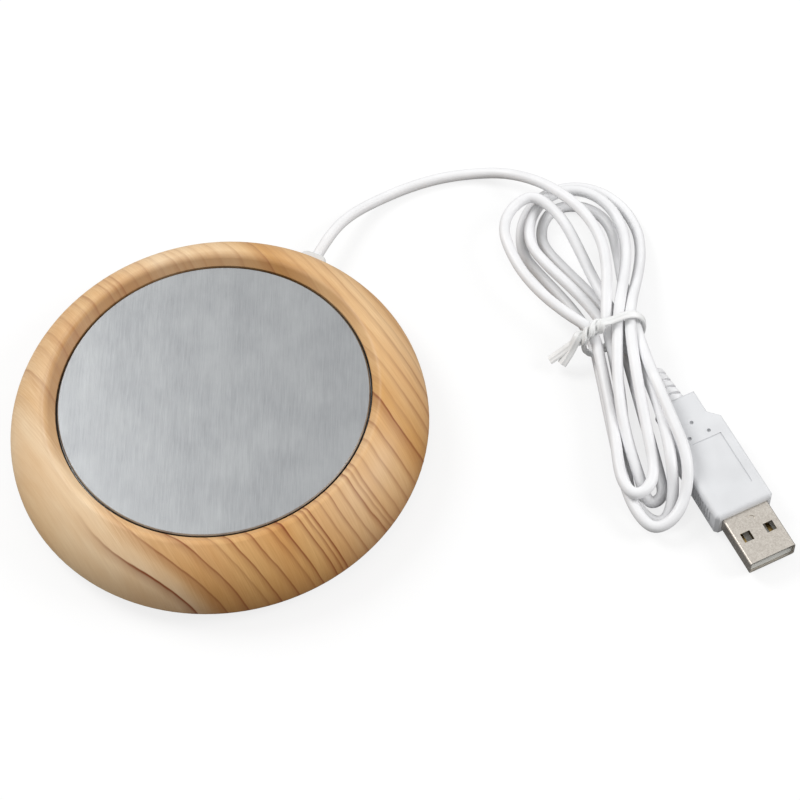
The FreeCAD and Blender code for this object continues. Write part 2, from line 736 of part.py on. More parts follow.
def make_cord_clamp():
    """The bar that holds the cord down on the cover."""
    body = new_body("cord_clamp", housing_placement)
    past_screw = 2.2
    screw_way_radius = 1.2
    half_length = size.clamp_reach + past_screw
    width = 5.0
    rise = size.clamp_meet - size.outlet_height
    half_groove = root(cord_way_radius * cord_way_radius - rise * rise)
    sketch = new_sketch(body, "bar_outline", "YZ_Plane", size.clamp_place - width / 2)
    draw_outline(sketch, [
        (-half_length, size.clamp_meet),
        (-half_groove, size.clamp_meet, -cord_way_radius),
        (half_groove, size.clamp_meet),
        (half_length, size.clamp_meet),
        (half_length, size.clamp_meet + size.clamp_thick),
        (-half_length, size.clamp_meet + size.clamp_thick),
    ])
    pad_sketch(body, "bar", sketch, width)
    for side, name in ((-1, "right"), (1, "left")):
        round_cut(body, f"screw_way_{name}", (size.clamp_place, size.clamp_reach * side), screw_way_radius,
                  size.clamp_meet, size.clamp_meet + size.clamp_thick)


def make_clamp_screws():
    """Two screws through the clamp bar."""
    body = new_body("clamp_screws", housing_placement)
    bar_top = size.clamp_meet + size.clamp_thick
    head = (1.9, bar_top + 1.2, bar_top)
    shank = (0.95, bar_top, cover_top + 0.2)
    places = [(size.clamp_place, size.clamp_reach * side) for side in (-1, 1)]
    add_screws(body, places, head, shank)


def make_cable_gland():
    """The soft white gland in the housing's slot, with an inner flange and rounded outer corners."""
    body = new_body("cable_gland", housing_placement)
    flange_end = size.rim_radius - size.rim_thick - 0.4
    flange_start = flange_end - 1.6
    flange_half = size.gland_half_width + 1.2
    corner = size.gland_round
    sketch = new_sketch(body, "gland_plan", "XY_Plane", size.gland_low)
    draw_outline(sketch, [
        (flange_start, -flange_half),
        (flange_end, -flange_half),
        (flange_end, -size.gland_half_width),
        (size.gland_end - corner, -size.gland_half_width, corner),
        (size.gland_end, corner - size.gland_half_width),
        (size.gland_end, size.gland_half_width - corner, corner),
        (size.gland_end - corner, size.gland_half_width),
        (flange_end, size.gland_half_width),
        (flange_end, flange_half),
        (flange_start, flange_half),
    ])
    pad_sketch(body, "gland", sketch, size.gland_high - size.gland_low)
    bore = new_sketch(body, "bore_outline", "YZ_Plane")
    draw_circle(bore, 0, size.outlet_height, cord_way_radius)
    cut_sketch(body, "bore", bore, size.gland_end + 1, forwards=True)
    soft_top = 0.8
    outer_end = float(size.gland_end - size.gland_round) - NEAR
    top = float(size.gland_high) - NEAR
    round_edges(body, "soft_top", soft_top,
                lambda edge: edge.BoundBox.ZMin > top and edge.BoundBox.XMin > outer_end)


# The cord outside the housing

LEAD_ROUTE = [
    (26.75, 46.33, 5.4),
    (30.9, 53.52, 5.4),
    (36.6, 60.0, 3.8),
    (43.6, 64.9, 2.0),
    (52.0, 68.6, 1.45),
    (61.0, 70.7, 1.45),
    (69.8, 70.6, 3.0),
    (77.6, 67.4, 7.4),
    (84.4, 61.6, 10.5),
    (90.6, 54.6, 10.9),
    (95.6, 47.2, 10.6),
    (98.6, 38.8, 10.1),
    (99.3, 31.0, 9.6),
    (98.7, 24.5, 9.4),
    (99.2, 19.5, 9.4),
]
OVER_PLUG = Vector(108.4, -17.0, 10.8)
OVER_PLUG_HEADING = Vector(0.03, -1.0, -0.12)


def heading_at(angle):
    """The level direction that is an angle away from +Y, anticlockwise positive."""
    angle = math.radians(angle)
    return Vector(-math.sin(angle), math.cos(angle), 0)


class Lobe:
    """One end of the hank, where the loops turn back."""

    def __init__(self, tilt, reach, half_width, step):
        self.outwards = heading_at(float(tilt))
        self.reach = float(reach)
        self.half_width = float(half_width)
        self.step = float(step)

    def tip(self, place, height):
        """The far point of the loop at a place, and the cord's heading there, clockwise from above."""
        reach = self.reach + place * self.step
        heading = self.outwards.cross(UP)
        return WAIST + self.outwards * reach + UP * height, heading

    def tip_tangent(self, place, waist_offset):
        """How far the tip's arc reaches along its tangent, so that it is as wide as the loop."""
        width = self.half_width + place * self.step
        run = self.reach + place * self.step - width
        spread = width - waist_offset
        slant = math.asin(run / ((run ** 2 + spread ** 2) / (2 * spread)))
        return width * math.tan((math.pi / 2 + slant) / 2)


WAIST = Vector(float(size.waist_x), float(size.waist_y), 0)
UPPER_LOBE = Lobe(size.upper_tilt, size.upper_reach, size.upper_half_width, size.upper_step)
LOWER_LOBE = Lobe(size.lower_tilt, size.lower_reach, size.lower_half_width, size.lower_step)


def waist_offset(place):
    """How far from the waist's middle a strand passes."""
    return float(size.waist_half_gap) + place * float(size.waist_step)


def waist_pass(side, place, height):
    """Where a strand passes the waist, and its heading: down on the right, up on the left."""
    upwards = heading_at(float(size.waist_tilt))
    across = upwards.cross(UP)
    return WAIST + across * (side * waist_offset(place)) + UP * height, upwards * -side


def layer_height(quarter):
    """The cord's height in its layer: the top one first, then the one on the table."""
    low = float(size.cord_radius)
    half_way = TURNS_IN_LAYER * 4
    if quarter == half_way:
        return low + float(size.layer_step) / 2
    return low + (float(size.layer_step) if quarter < half_way else 0)


def solve_arms(start, start_heading, finish, finish_heading, start_arm=None, finish_arm=None):
    """The arms of a biarc's control points when one of them is given, or equal arms."""
    gap = finish - start
    if start_arm is not None:
        rest = gap.dot(gap) - 2 * start_arm * gap.dot(start_heading)
        turn = start_arm * (1 - start_heading.dot(finish_heading))
        return start_arm, rest / (2 * (gap.dot(finish_heading) + turn))
    if finish_arm is not None:
        rest = gap.dot(gap) - 2 * finish_arm * gap.dot(finish_heading)
        turn = finish_arm * (1 - start_heading.dot(finish_heading))
        return rest / (2 * (gap.dot(start_heading) + turn)), finish_arm
    both = start_heading + finish_heading
    along = gap.dot(both)
    bend = 2 * (1 - start_heading.dot(finish_heading))
    arm = (math.sqrt(along ** 2 + bend * gap.dot(gap)) - along) / bend
    return arm, arm


def arc_with_corner(start, corner, finish):
    """The arc that leaves start towards corner and arrives at finish from it, and its radius."""
    middle = (start + finish) * 0.5
    half_chord = (finish - start).Length / 2
    bend = math.acos(min(half_chord / (corner - start).Length, 1))
    top = middle + unit(corner - middle) * (half_chord * math.tan(bend / 2))
    return Part.Arc(start, top, finish).toShape(), half_chord / math.sin(bend)


def biarc(start, start_heading, finish, finish_heading, **arm):
    """Two arcs that run on from each other between two headings, and their radii."""
    start_arm, finish_arm = solve_arms(start, start_heading, finish, finish_heading, **arm)
    first_corner = start + start_heading * start_arm
    last_corner = finish - finish_heading * finish_arm
    share = start_arm / (start_arm + finish_arm)
    joint = first_corner + (last_corner - first_corner) * share
    arcs = [arc_with_corner(start, first_corner, joint), arc_with_corner(joint, last_corner, finish)]
    return [edge for edge, _ in arcs], [radius for _, radius in arcs]


def hank_quarter(quarter):
    """Where the cord is after some quarter turns, its heading, and its lobe and place in it."""
    place = abs(TURNS_IN_LAYER - quarter / 4)
    height = layer_height(quarter)
    if quarter % 2 == 0:
        side = 1 if quarter % 4 == 0 else -1
        return *waist_pass(side, place, height + float(size.waist_lift)), None, place
    lobe = LOWER_LOBE if quarter % 4 == 1 else UPPER_LOBE
    return *lobe.tip(place, height), lobe, place


def hank_route():
    """The hank from its first crossing of the waist, over the plug, through its loops and to the plug."""
    diameter = 2 * float(size.cord_radius)
    start = Vector(*LEAD_ROUTE[-1])
    heading = unit(start - Vector(*LEAD_ROUTE[-2]))
    edges = [Part.LineSegment(start, start + heading * diameter).toShape()]
    radii = []

    def run_to(arcs):
        edges.extend(arcs[0])
        radii.extend(arcs[1])

    over_plug_heading = unit(OVER_PLUG_HEADING)
    run_to(biarc(start + heading * diameter, heading, OVER_PLUG, over_plug_heading))
    tip, tip_heading, lobe, place = hank_quarter(1)
    tip_arm = lobe.half_width + place * lobe.step
    run_to(biarc(OVER_PLUG, over_plug_heading, tip, tip_heading, finish_arm=tip_arm))
    for quarter in range(1, TURNS_IN_LAYER * LAYERS * 4):
        here, heading, lobe, place = hank_quarter(quarter)
        following, next_heading, next_lobe, next_place = hank_quarter(quarter + 1)
        if lobe:
            arm = {"start_arm": lobe.tip_tangent(place, waist_offset(next_place))}
        else:
            arm = {"finish_arm": next_lobe.tip_tangent(next_place, waist_offset(place))}
        run_to(biarc(here, heading, following, next_heading, **arm))
    plug_heading = plug_placement.Rotation.multVec(Vector(1, 0, 0))
    plug_end = plug_placement.multVec(Vector(-float(size.neck_length + size.relief_length), 0, 0))
    last_run = plug_end - plug_heading * diameter
    run_to(biarc(following, next_heading, last_run, plug_heading))
    edges.append(Part.LineSegment(last_run, plug_end).toShape())
    return edges, radii


def least_gap(edges, radius):
    """The least free space between stretches of a tube that aren't neighbours along it."""
    spacing = 1.0
    neighbours = 14.0
    points = []
    travelled = 0.0
    for edge in edges:
        steps = max(round(edge.Length / spacing), 2)
        for point in edge.discretize(steps + 1)[:-1]:
            points.append((travelled, point))
            travelled += edge.Length / steps
    nearest = min((here.distanceToPoint(there), start, end)
                  for number, (start, here) in enumerate(points)
                  for end, there in points[number + 1:] if end - start > neighbours)
    return nearest[0] - 2 * float(radius), nearest[1], nearest[2]


def make_cord():
    """The lead from the gland to the hank, and the hank with its four loops."""
    make_tube("cord_lead", LEAD_ROUTE, size.cord_radius)
    edges, radii = hank_route()
    hank, path = sweep_round(edges, size.cord_radius)
    report_tube("cord_hank", hank, path, size.cord_radius, radii)
    gap, start, end = least_gap(edges, size.cord_radius)
    print(f"cord_hank: least gap to itself {gap:.2f}, between {start:.0f} and {end:.0f} along it")
    new_feature("cord_hank", hank)


def make_twist_tie():
    """The coated twist tie: a flat band round the waist, a twisted knot and two tails."""
    width = float(size.tie_width)
    thick = float(size.tie_thick)
    play = 0.5
    outer_corner = 3.2
    slant = math.radians(float(size.tie_turn - size.waist_tilt))
    strands = waist_offset(TURNS_IN_LAYER - 0.5) + waist_offset(TURNS_IN_LAYER) + 2 * float(size.cord_radius)
    inside = strands / math.cos(slant) + width * math.tan(slant) + 2 * play
    top = LEAD_ROUTE[-1][2] + float(size.cord_radius) + play
    outer = middle_box(inside + 2 * thick, width, 0, top + thick)
    inner = middle_box(inside, width, thick, top)
    band = outer.makeFillet(outer_corner, long_edges(outer))
    band = band.cut(inner.makeFillet(outer_corner - thick, long_edges(inner)))
    band.Placement = FreeCAD.Placement(
        Vector(float(size.tie_x), float(size.tie_y), 0), FreeCAD.Rotation(UP, float(size.tie_turn)))
    knot_start = Vector(88.3, 9.9, 8.4)
    knot_end = Vector(84.6, 8.2, 6.0)
    knot_radius = 1.2
    tail_radius = 0.75
    tie = band.fuse(rod(knot_start, knot_end, knot_radius))
    for tail_end in (Vector(79.6, 6.8, 3.4), Vector(81.4, 4.6, 2.8)):
        tie = tie.fuse(rod(knot_end, tail_end, tail_radius))
    new_feature("twist_tie", tie.removeSplitter())


def middle_box(length, width, low, high):
    """A box round the upright axis, from low to high."""
    return Part.makeBox(length, width, high - low, Vector(-length / 2, -width / 2, low))


def long_edges(box):
    """The edges of a shape that run along Y."""
    return [edge for edge in box.Edges if abs(edge.tangentAt(edge.FirstParameter).y) > 0.99]


def rod(start, end, radius):
    """A round rod between two points."""
    return Part.makeCylinder(radius, (end - start).Length, start, end - start)


# The USB plug, in its own frame: +X points out of the metal shell, X = 0 is where the shell leaves the body

def make_usb_overmould():
    """The moulded body: neck and wide part, with its marks, grip grooves and a seat for the shell."""
    body = new_body("usb_overmould", plug_placement)
    front = -0.2
    front_bevel = 0.8
    shoulder = 2.5
    rounding = 1.2
    width = size.plug_half_width
    sketch = new_sketch(body, "body_plan", "XY_Plane", -size.plug_half_height)
    half = [
        (-size.neck_length, size.neck_half_width),
        (-size.body_length - shoulder, size.neck_half_width),
        (-size.body_length, width),
        (front - front_bevel, width),
        (front, width - front_bevel),
    ]
    draw_outline(sketch, [(along, -across) for along, across in half] + half[::-1])
    pad_sketch(body, "block", sketch, size.plug_half_height * 2)
    round_edges(body, "rounded", rounding, lambda edge: edge.BoundBox.ZLength < NEAR)
    seat = new_sketch(body, "seat_outline", "YZ_Plane", -size.shell_sunk)
    half_seat = size.shell_width / 2 + size.clearance
    seat_height = size.shell_height / 2 + size.clearance
    draw_box(seat, -half_seat, half_seat, -seat_height, seat_height)
    cut_sketch(body, "seat", seat, size.shell_sunk, forwards=True)
    add_panel(body)
    add_grips(body)


def add_panel(body):
    """A shallow panel and three mould marks on the plug's top."""
    panel_depth = 0.2
    mark_depth = 0.6
    mark_radius = 0.5
    panel = new_sketch(body, "panel_outline", "XY_Plane", size.plug_half_height)
    draw_box(panel, -20.6, -5.6, -4.9, 4.9)
    cut_sketch(body, "panel", panel, panel_depth)
    for number, place in enumerate(((-26.0, 0.0), (-22.3, 2.6), (-22.3, -2.6))):
        round_cut(body, f"mould_mark_{number}", place, mark_radius,
                  size.plug_half_height - mark_depth, size.plug_half_height)


def add_grips(body):
    """A row of fine upright grooves on each side of the plug."""
    width = size.plug_half_width
    groove_start = -12.4
    groove_width = 0.5
    groove_depth = 0.2
    margin = 1.6
    spread = 8.8
    past = 1.0
    grips = new_sketch(body, "grip_outline", "XY_Plane", size.plug_half_height - margin)
    groove_end = groove_start + groove_width
    draw_box(grips, groove_start, groove_end, width - groove_depth, width + past)
    draw_box(grips, groove_start, groove_end, -width - past, groove_depth - width)
    groove = cut_sketch(body, "grip", grips, (size.plug_half_height - margin) * 2)
    repeat_along(body, "grips", [groove], GRIP_GROOVES, spread)


def make_strain_relief():
    """The ribbed strain relief behind the neck."""
    body = new_body("usb_strain_relief", plug_placement)
    thick = size.relief_radius
    thin = size.relief_radius - size.relief_taper
    start = -size.neck_length - size.relief_length
    end_bevel = 0.5
    first_groove = 1.7
    groove_width = 0.8
    groove_spread = 6.6
    core_radius = size.cord_radius + 0.5
    turn_outline(body, "cone", [
        (start, 0),
        (-size.neck_length, 0),
        (-size.neck_length, thick),
        (start + end_bevel, thin),
        (start, thin - end_bevel),
    ], axis="H_Axis")
    groove = new_sketch(body, "groove_outline", "YZ_Plane", start + first_groove)
    draw_circle(groove, 0, 0, thick + 1)
    draw_circle(groove, 0, 0, core_radius)
    cut = cut_sketch(body, "groove", groove, groove_width, forwards=True)
    repeat_along(body, "grooves", [cut], RELIEF_GROOVES, groove_spread)


def make_usb_shell():
    """The folded metal shell, with two square windows in each wide face and a pressed dimple."""
    body = new_body("usb_shell", plug_placement)
    corner = 0.6
    outer = rounded_box(size.shell_width / 2, size.shell_height / 2, corner)
    inner = rounded_box(size.shell_width / 2 - size.shell_wall, size.shell_height / 2 - size.shell_wall,
                        corner - size.shell_wall.number)
    sketch = new_sketch(body, "shell_section", "YZ_Plane", -size.shell_sunk)
    draw_outline(sketch, outer)
    draw_outline(sketch, inner)
    pad_sketch(body, "tube", sketch, size.shell_length + size.shell_sunk)
    window_middle = 6.0
    window_offset = 3.0
    half_window = 1.25
    windows = new_sketch(body, "window_outline", "XY_Plane", size.shell_height)
    for middle in (-window_offset, window_offset):
        draw_box(windows, window_middle - half_window, window_middle + half_window,
                 middle - half_window, middle + half_window)
    cut_sketch(body, "windows", windows, size.shell_height * 2)
    dimple_radius = 0.8
    dimple_depth = 0.2
    shell_top = size.shell_height / 2
    round_cut(body, "dimple", (2.2, 0.3), dimple_radius, shell_top - dimple_depth, shell_top)


def rounded_box(half_width, half_height, corner):
    """The corners of a rectangle round the origin whose corners are arcs."""
    across = half_width - corner
    along = half_height - corner
    return [
        (-across, -half_height),
        (across, -half_height, corner),
        (half_width, -along),
        (half_width, along, corner),
        (across, half_height),
        (-across, half_height, corner),
        (-half_width, along),
        (-half_width, -along, corner),
    ]


def make_usb_tongue():
    """The plastic tongue in the lower half of the shell."""
    body = new_body("usb_tongue", plug_placement)
    play = size.clearance * 2
    half_width = size.shell_width / 2 - size.shell_wall - play
    low = size.shell_wall - size.shell_height / 2 + play
    setback = 0.5
    sketch = new_sketch(body, "tongue_section", "YZ_Plane", -size.shell_sunk)
    draw_box(sketch, -half_width, half_width, low, 0)
    pad_sketch(body, "tongue", sketch, size.shell_length + size.shell_sunk - setback)


def make_usb_contacts():
    """The four gold-plated contact strips on the tongue."""
    body = new_body("usb_contacts", plug_placement)
    half_width = 0.5
    thick = 0.15
    contacts = ((-3.5, 11.6), (-1.0, 10.6), (1.0, 10.6), (3.5, 11.6))
    for number, (middle, reach) in enumerate(contacts):
        sketch = new_sketch(body, f"contact_plan_{number}", "XY_Plane")
        draw_box(sketch, 1 - size.shell_sunk, reach, middle - half_width, middle + half_width)
        pad_sketch(body, f"contact_{number}", sketch, thick)


def make_everything():
    """Build every piece, from the housing inwards and then along the cord."""
    for make in (
        make_ring_housing, make_base_cover, make_rubber_feet, make_housing_screws,
        make_heating_plate, make_plate_gasket, make_heater_stack, make_backing_screws,
        make_thermal_cutout, make_cutout_strap, make_wires, make_shrink_sleeves,
        make_inner_cord, make_cord_clamp, make_clamp_screws, make_cable_gland,
        make_cord, make_twist_tie,
        make_usb_overmould, make_strain_relief, make_usb_shell, make_usb_tongue, make_usb_contacts,
    ):
        make()
    doc.recompute()


def check_and_write():
    """Stop at anything that failed, then write each piece to its own file."""
    failed = [item.Name for item in doc.Objects if {"Invalid", "Error"} & set(item.State)]
    failed += [piece.Label for piece in pieces if piece.Shape.isNull() or not piece.Shape.isValid()]
    if failed:
        raise RuntimeError(f"these failed: {failed}")
    os.makedirs("parts", exist_ok=True)
    for piece in pieces:
        piece.Shape.exportStep(f"parts/{piece.Label}.step")
        print(f"{piece.Label}: {len(piece.Shape.Solids)} solids, {piece.Shape.Volume:.1f} mm3")


make_everything()
check_and_write()
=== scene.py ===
# Looks of the electric mug warmer: a wood-look ring with a brushed heating plate, and a white cord
# that lies in a tied hank and ends in a plug
import math
from collections import namedtuple

import bpy
from mathutils import Matrix, Vector


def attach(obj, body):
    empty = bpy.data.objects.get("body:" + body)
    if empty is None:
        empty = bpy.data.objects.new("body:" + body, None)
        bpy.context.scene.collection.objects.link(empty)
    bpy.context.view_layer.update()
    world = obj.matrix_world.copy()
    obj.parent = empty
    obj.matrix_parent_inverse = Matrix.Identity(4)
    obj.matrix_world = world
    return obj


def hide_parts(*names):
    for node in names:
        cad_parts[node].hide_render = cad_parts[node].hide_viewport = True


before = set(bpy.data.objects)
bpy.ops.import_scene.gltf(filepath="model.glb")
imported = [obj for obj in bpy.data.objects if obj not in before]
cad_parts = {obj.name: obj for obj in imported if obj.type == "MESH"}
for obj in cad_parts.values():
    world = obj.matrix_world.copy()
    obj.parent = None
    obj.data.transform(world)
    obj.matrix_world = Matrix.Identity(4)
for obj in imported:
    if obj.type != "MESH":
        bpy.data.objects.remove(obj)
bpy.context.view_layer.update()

MM = 0.001
IMAGE_WIDTH = 800
UP = Vector((0, 0, 1))


def mm(*numbers):
    """A vector in metres from numbers in millimetres."""
    return Vector(numbers) * MM


# Camera, at the photograph's place

CAMERA_PLACE = mm(44.356, -276.611, 454.371)
CAMERA_DIP = 58.258
CAMERA_ROLL = -5.771
FOCAL_PIXELS = 2159.2
SENSOR_WIDTH = 36
NEAR_CLIP = 10


def make_camera():
    """The camera, turned down from level by its dip and then rolled about its own axis."""
    data = bpy.data.cameras.new("camera")
    data.sensor_width = SENSOR_WIDTH
    data.lens = FOCAL_PIXELS * SENSOR_WIDTH / IMAGE_WIDTH
    data.clip_start = NEAR_CLIP * MM
    camera = bpy.data.objects.new("camera", data)
    turn = Matrix.Rotation(math.radians(90 - CAMERA_DIP), 4, "X")
    roll = Matrix.Rotation(math.radians(CAMERA_ROLL), 4, "Z")
    camera.matrix_world = Matrix.Translation(CAMERA_PLACE) @ turn @ roll
    bpy.context.scene.collection.objects.link(camera)
    bpy.context.scene.camera = camera


make_camera()


# Cord: the lead's points are listed, and the hank follows loop by loop

CORD_RADIUS = 1.4
# The height of a strand's middle where it lies on the table
ON_TABLE = 1.45
LEAD_ROUTE = [
    (26.75, 46.33, 5.4),
    (30.9, 53.52, 5.4),
    (36.6, 60.0, 3.8),
    (43.6, 64.9, 2.0),
    (52.0, 68.6, 1.45),
    (61.0, 70.7, 1.45),
    (70.4, 70.8, 1.7),
    (78.3, 68.6, 3.4),
    (85.8, 61.8, 7.6),
    (92.0, 53.8, 10.4),
    (96.6, 46.6, 10.7),
    (99.1, 38.8, 10.3),
    (99.2, 31.0, 9.7),
    (98.2, 24.5, 9.3),
    (97.4, 19.5, 8.8),
]
WAIST = Vector((98.5, 14.5))
PLUG_END = Vector((122.3, -39.4, 3.95))
PLUG_TURN = -69.8
NECK_LENGTH = 34.0
RELIEF_LENGTH = 10.5
# Where the last strand turns from the waist to the strain relief
TAIL_BEND = (102.6, 8.4, 4.3)

# A strand's crossing of the waist: its place along X and its height
Crossing = namedtuple("Crossing", "x z")
# One side of a loop: how far it swings out to the right, seen from the waist, how much it bellies
# out half way, and its heights near the waist and near the far point
Side = namedtuple("Side", "swing belly near far")
# A loop: its far point, the length of its rounded end, and the sides on which it goes and comes back
Loop = namedtuple("Loop", "tip fold going coming")

CROSSINGS = [
    Crossing(96.9, 8.2),
    Crossing(101.0, 6.4),
    Crossing(93.6, 7.6),
    Crossing(102.4, 10.2),
    Crossing(93.9, ON_TABLE),
    Crossing(104.0, 7.9),
    Crossing(101.0, ON_TABLE),
    Crossing(99.6, 9.8),
    Crossing(98.0, 3.9),
]
LOOPS = [
    Loop((103.0, -37.8, ON_TABLE), 12,
         Side(5.6, -1.5, ON_TABLE, ON_TABLE),
         Side(-4.8, -1.8, 7.9, 10.2)),
    Loop((81.8, 56.6, 8.1), 12,
         Side(4.9, 0, 5.6, 8.1),
         Side(-11.4, -2.8, 8.1, 8.1)),
    Loop((97.7, -32.6, 7.2), 8,
         Side(3.4, -0.8, 5.8, 7.2),
         Side(-5.0, 0.6, 9.9, 7.6)),
    Loop((92.0, 63.6, ON_TABLE), 18,
         Side(15.4, 1.3, 4.6, ON_TABLE),
         Side(-15.4, 1.2, ON_TABLE, ON_TABLE)),
    Loop((101.6, -40.8, 4.4), 15,
         Side(5.4, 0, 2.4, 4.3),
         Side(-9.8, 0.8, 10.9, 10.7)),
    Loop((91.0, 57.4, ON_TABLE), 11,
         Side(10.4, 0, ON_TABLE, ON_TABLE),
         Side(-8.2, 1.4, ON_TABLE, ON_TABLE)),
    Loop((101.8, -32.2, ON_TABLE), 4,
         Side(-3.2, 0, ON_TABLE, ON_TABLE),
         Side(2.1, 2.5, 8.4, 4.8)),
    Loop((92.0, 60.2, 4.8), 15,
         Side(11.4, 1.3, 7.4, 4.8),
         Side(-13.0, 0.8, 4.8, 4.8)),
]
# Where the points of a loop's side lie: shares of the side, then degrees round its end
SIDE_SHARES = (0.25, 0.5, 0.75, 1)
ROUND_ANGLES = (30, 60)
# How much of the swing comes gently, against evenly
EASE = 0.5
# How finely a line and the cord's round section are divided
LINE_STEPS = 8
ROUND_STEPS = 6


def blend(start, end, share):
    """A number part of the way from start to end."""
    return start + (end - start) * share


def loop_side(loop, side, crossing):
    """The points of one side of a loop, from the waist outwards."""
    tip = Vector(loop.tip[:2])
    outwards = (tip - WAIST).normalized()
    reach = (tip - WAIST).length
    right = Vector((outwards.y, -outwards.x))
    start_swing = (Vector((crossing.x, WAIST.y)) - WAIST).dot(right)
    points = []
    for share in SIDE_SHARES:
        eased = blend(share, share * share * (3 - 2 * share), EASE)
        swing = blend(start_swing, side.swing, eased) + side.belly * math.sin(math.pi * share)
        place = WAIST + outwards * ((reach - loop.fold) * share) + right * swing
        if share < 0.5:
            height = blend(crossing.z, side.near, 2 * share)
        else:
            height = blend(side.near, side.far, 2 * share - 1)
        points.append((*place, height))
    for degrees in ROUND_ANGLES:
        turn = math.radians(degrees)
        place = WAIST + outwards * (reach - loop.fold * (1 - math.sin(turn)))
        place += right * (side.swing * math.cos(turn))
        points.append((*place, blend(side.far, loop.tip[2], math.sin(turn))))
    return points


def cord_points():
    """Every control point of the cord, in millimetres: lead, hank and the end in the strain relief."""
    points = list(LEAD_ROUTE)
    for loop, start, end in zip(LOOPS, CROSSINGS, CROSSINGS[1:]):
        points.append((start.x, WAIST.y, start.z))
        points += loop_side(loop, loop.going, start)
        points.append(loop.tip)
        points += reversed(loop_side(loop, loop.coming, end))
    last = CROSSINGS[-1]
    heading = Vector((math.cos(math.radians(PLUG_TURN)), math.sin(math.radians(PLUG_TURN)), 0))
    relief_start = PLUG_END - heading * (NECK_LENGTH + RELIEF_LENGTH)
    points.append((last.x, WAIST.y, last.z))
    points.append(TAIL_BEND)
    points.append(relief_start - heading * (2 * CORD_RADIUS))
    points.append(relief_start + heading * CORD_RADIUS)
    return points


def make_line(name, points):
    """A smooth open line through space, pulled by its points, given in millimetres."""
    curve = bpy.data.curves.new(name, "CURVE")
    curve.dimensions = "3D"
    spline = curve.splines.new("NURBS")
    spline.points.add(len(points) - 1)
    for spot, point in zip(spline.points, points):
        spot.co = (*mm(*point), 1)
    spline.order_u = 3
    spline.use_endpoint_u = True
    spline.resolution_u = LINE_STEPS
    line = bpy.data.objects.new(name, curve)
    bpy.context.scene.collection.objects.link(line)
    return line


def make_cord():
    """The cord as one round line."""
    cord = make_line("cord", cord_points())
    cord.data.bevel_depth = CORD_RADIUS * MM
    cord.data.bevel_resolution = ROUND_STEPS
    cord.data.use_fill_caps = True
    return cord


cord = make_cord()


# Twist tie: one coated wire, from a tail's end through the twist, round the waist and back

TIE_RING = [
    (97.4, 13.8, 11.6),
    (99.6, 14.3, 12.1),
    (102.4, 14.8, 12.5),
    (105.0, 15.1, 11.2),
    (106.3, 15.3, 7.8),
    (106.0, 15.0, 3.6),
    (103.6, 14.4, 0.9),
    (99.8, 13.8, 0.9),
    (95.8, 13.0, 0.9),
    (92.6, 11.8, 1.0),
    (91.0, 11.2, 3.4),
    (90.8, 11.6, 7.0),
    (92.2, 12.4, 9.6),
    (94.2, 13.0, 10.4),
]
TWIST_START = Vector((95.6, 13.4, 11.5))
TWIST_END = Vector((89.6, 11.6, 8.4))
TWIST_RADIUS = 0.95
TWIST_TURNS = 1.5
TWIST_POINTS = 11
# The two strands of the twist start on opposite sides, in turns
OVER_START = 0.25
UNDER_START = 0.75
LONG_TAIL = [(87.6, 11.1, 6.9), (85.2, 10.5, 4.9), (82.2, 9.6, 3.2)]
SHORT_TAIL = [(87.8, 10.3, 6.6), (86.5, 9.2, 4.8), (85.0, 8.0, 3.3)]
# The wire's section, one side of it: a round core between two thin wings
TIE_SECTION = [(1.25, 0.0), (1.0, 0.36), (0.45, 0.42), (0.0, 0.78), (-0.45, 0.42), (-1.0, 0.36)]


def twist_points(start_turn):
    """One strand of the twist, from the ring's end outwards."""
    axis = (TWIST_END - TWIST_START).normalized()
    side = axis.cross(UP).normalized()
    top = side.cross(axis)
    points = []
    for step in range(TWIST_POINTS):
        share = step / (TWIST_POINTS - 1)
        turn = 2 * math.pi * (start_turn + TWIST_TURNS * share)
        middle = TWIST_START.lerp(TWIST_END, share)
        points.append(tuple(middle + (side * math.cos(turn) + top * math.sin(turn)) * TWIST_RADIUS))
    return points


def make_twist_tie():
    """The tie as a mesh: its section swept along one line, with flat-cut ends."""
    over = twist_points(OVER_START)
    under = twist_points(UNDER_START)
    points = LONG_TAIL[::-1] + over[::-1] + TIE_RING + under + SHORT_TAIL
    tie = make_line("twist_tie_wire", points)
    around = TIE_SECTION + [(-across_wire, -up) for across_wire, up in TIE_SECTION]
    section = make_line("tie_section", [(*point, 0) for point in around])
    section.data.splines[0].use_cyclic_u = True
    tie.data.bevel_mode = "OBJECT"
    tie.data.bevel_object = section
    tie.data.use_fill_caps = True
    tie.data.twist_mode = "MINIMUM"
    bpy.ops.object.select_all(action="DESELECT")
    tie.select_set(True)
    bpy.context.view_layer.objects.active = tie
    bpy.ops.object.convert(target="MESH")
    bpy.data.objects.remove(section)
    return bpy.context.object


twist_tie = make_twist_tie()


# Colours and nodes

# Between these two lie most values of a noise
NOISE_LOW = 0.3
NOISE_HIGH = 0.7


def shade(code):
    """A colour for the nodes from its sRGB hex code."""
    parts = [int(code[place:place + 2], 16) / 255 for place in (1, 3, 5)]
    linear = [part / 12.92 if part <= 0.04045 else ((part + 0.055) / 1.055) ** 2.4 for part in parts]
    return (*linear, 1)


def grey(level):
    """A plain grey for a ramp that carries a number."""
    return (level, level, level, 1)


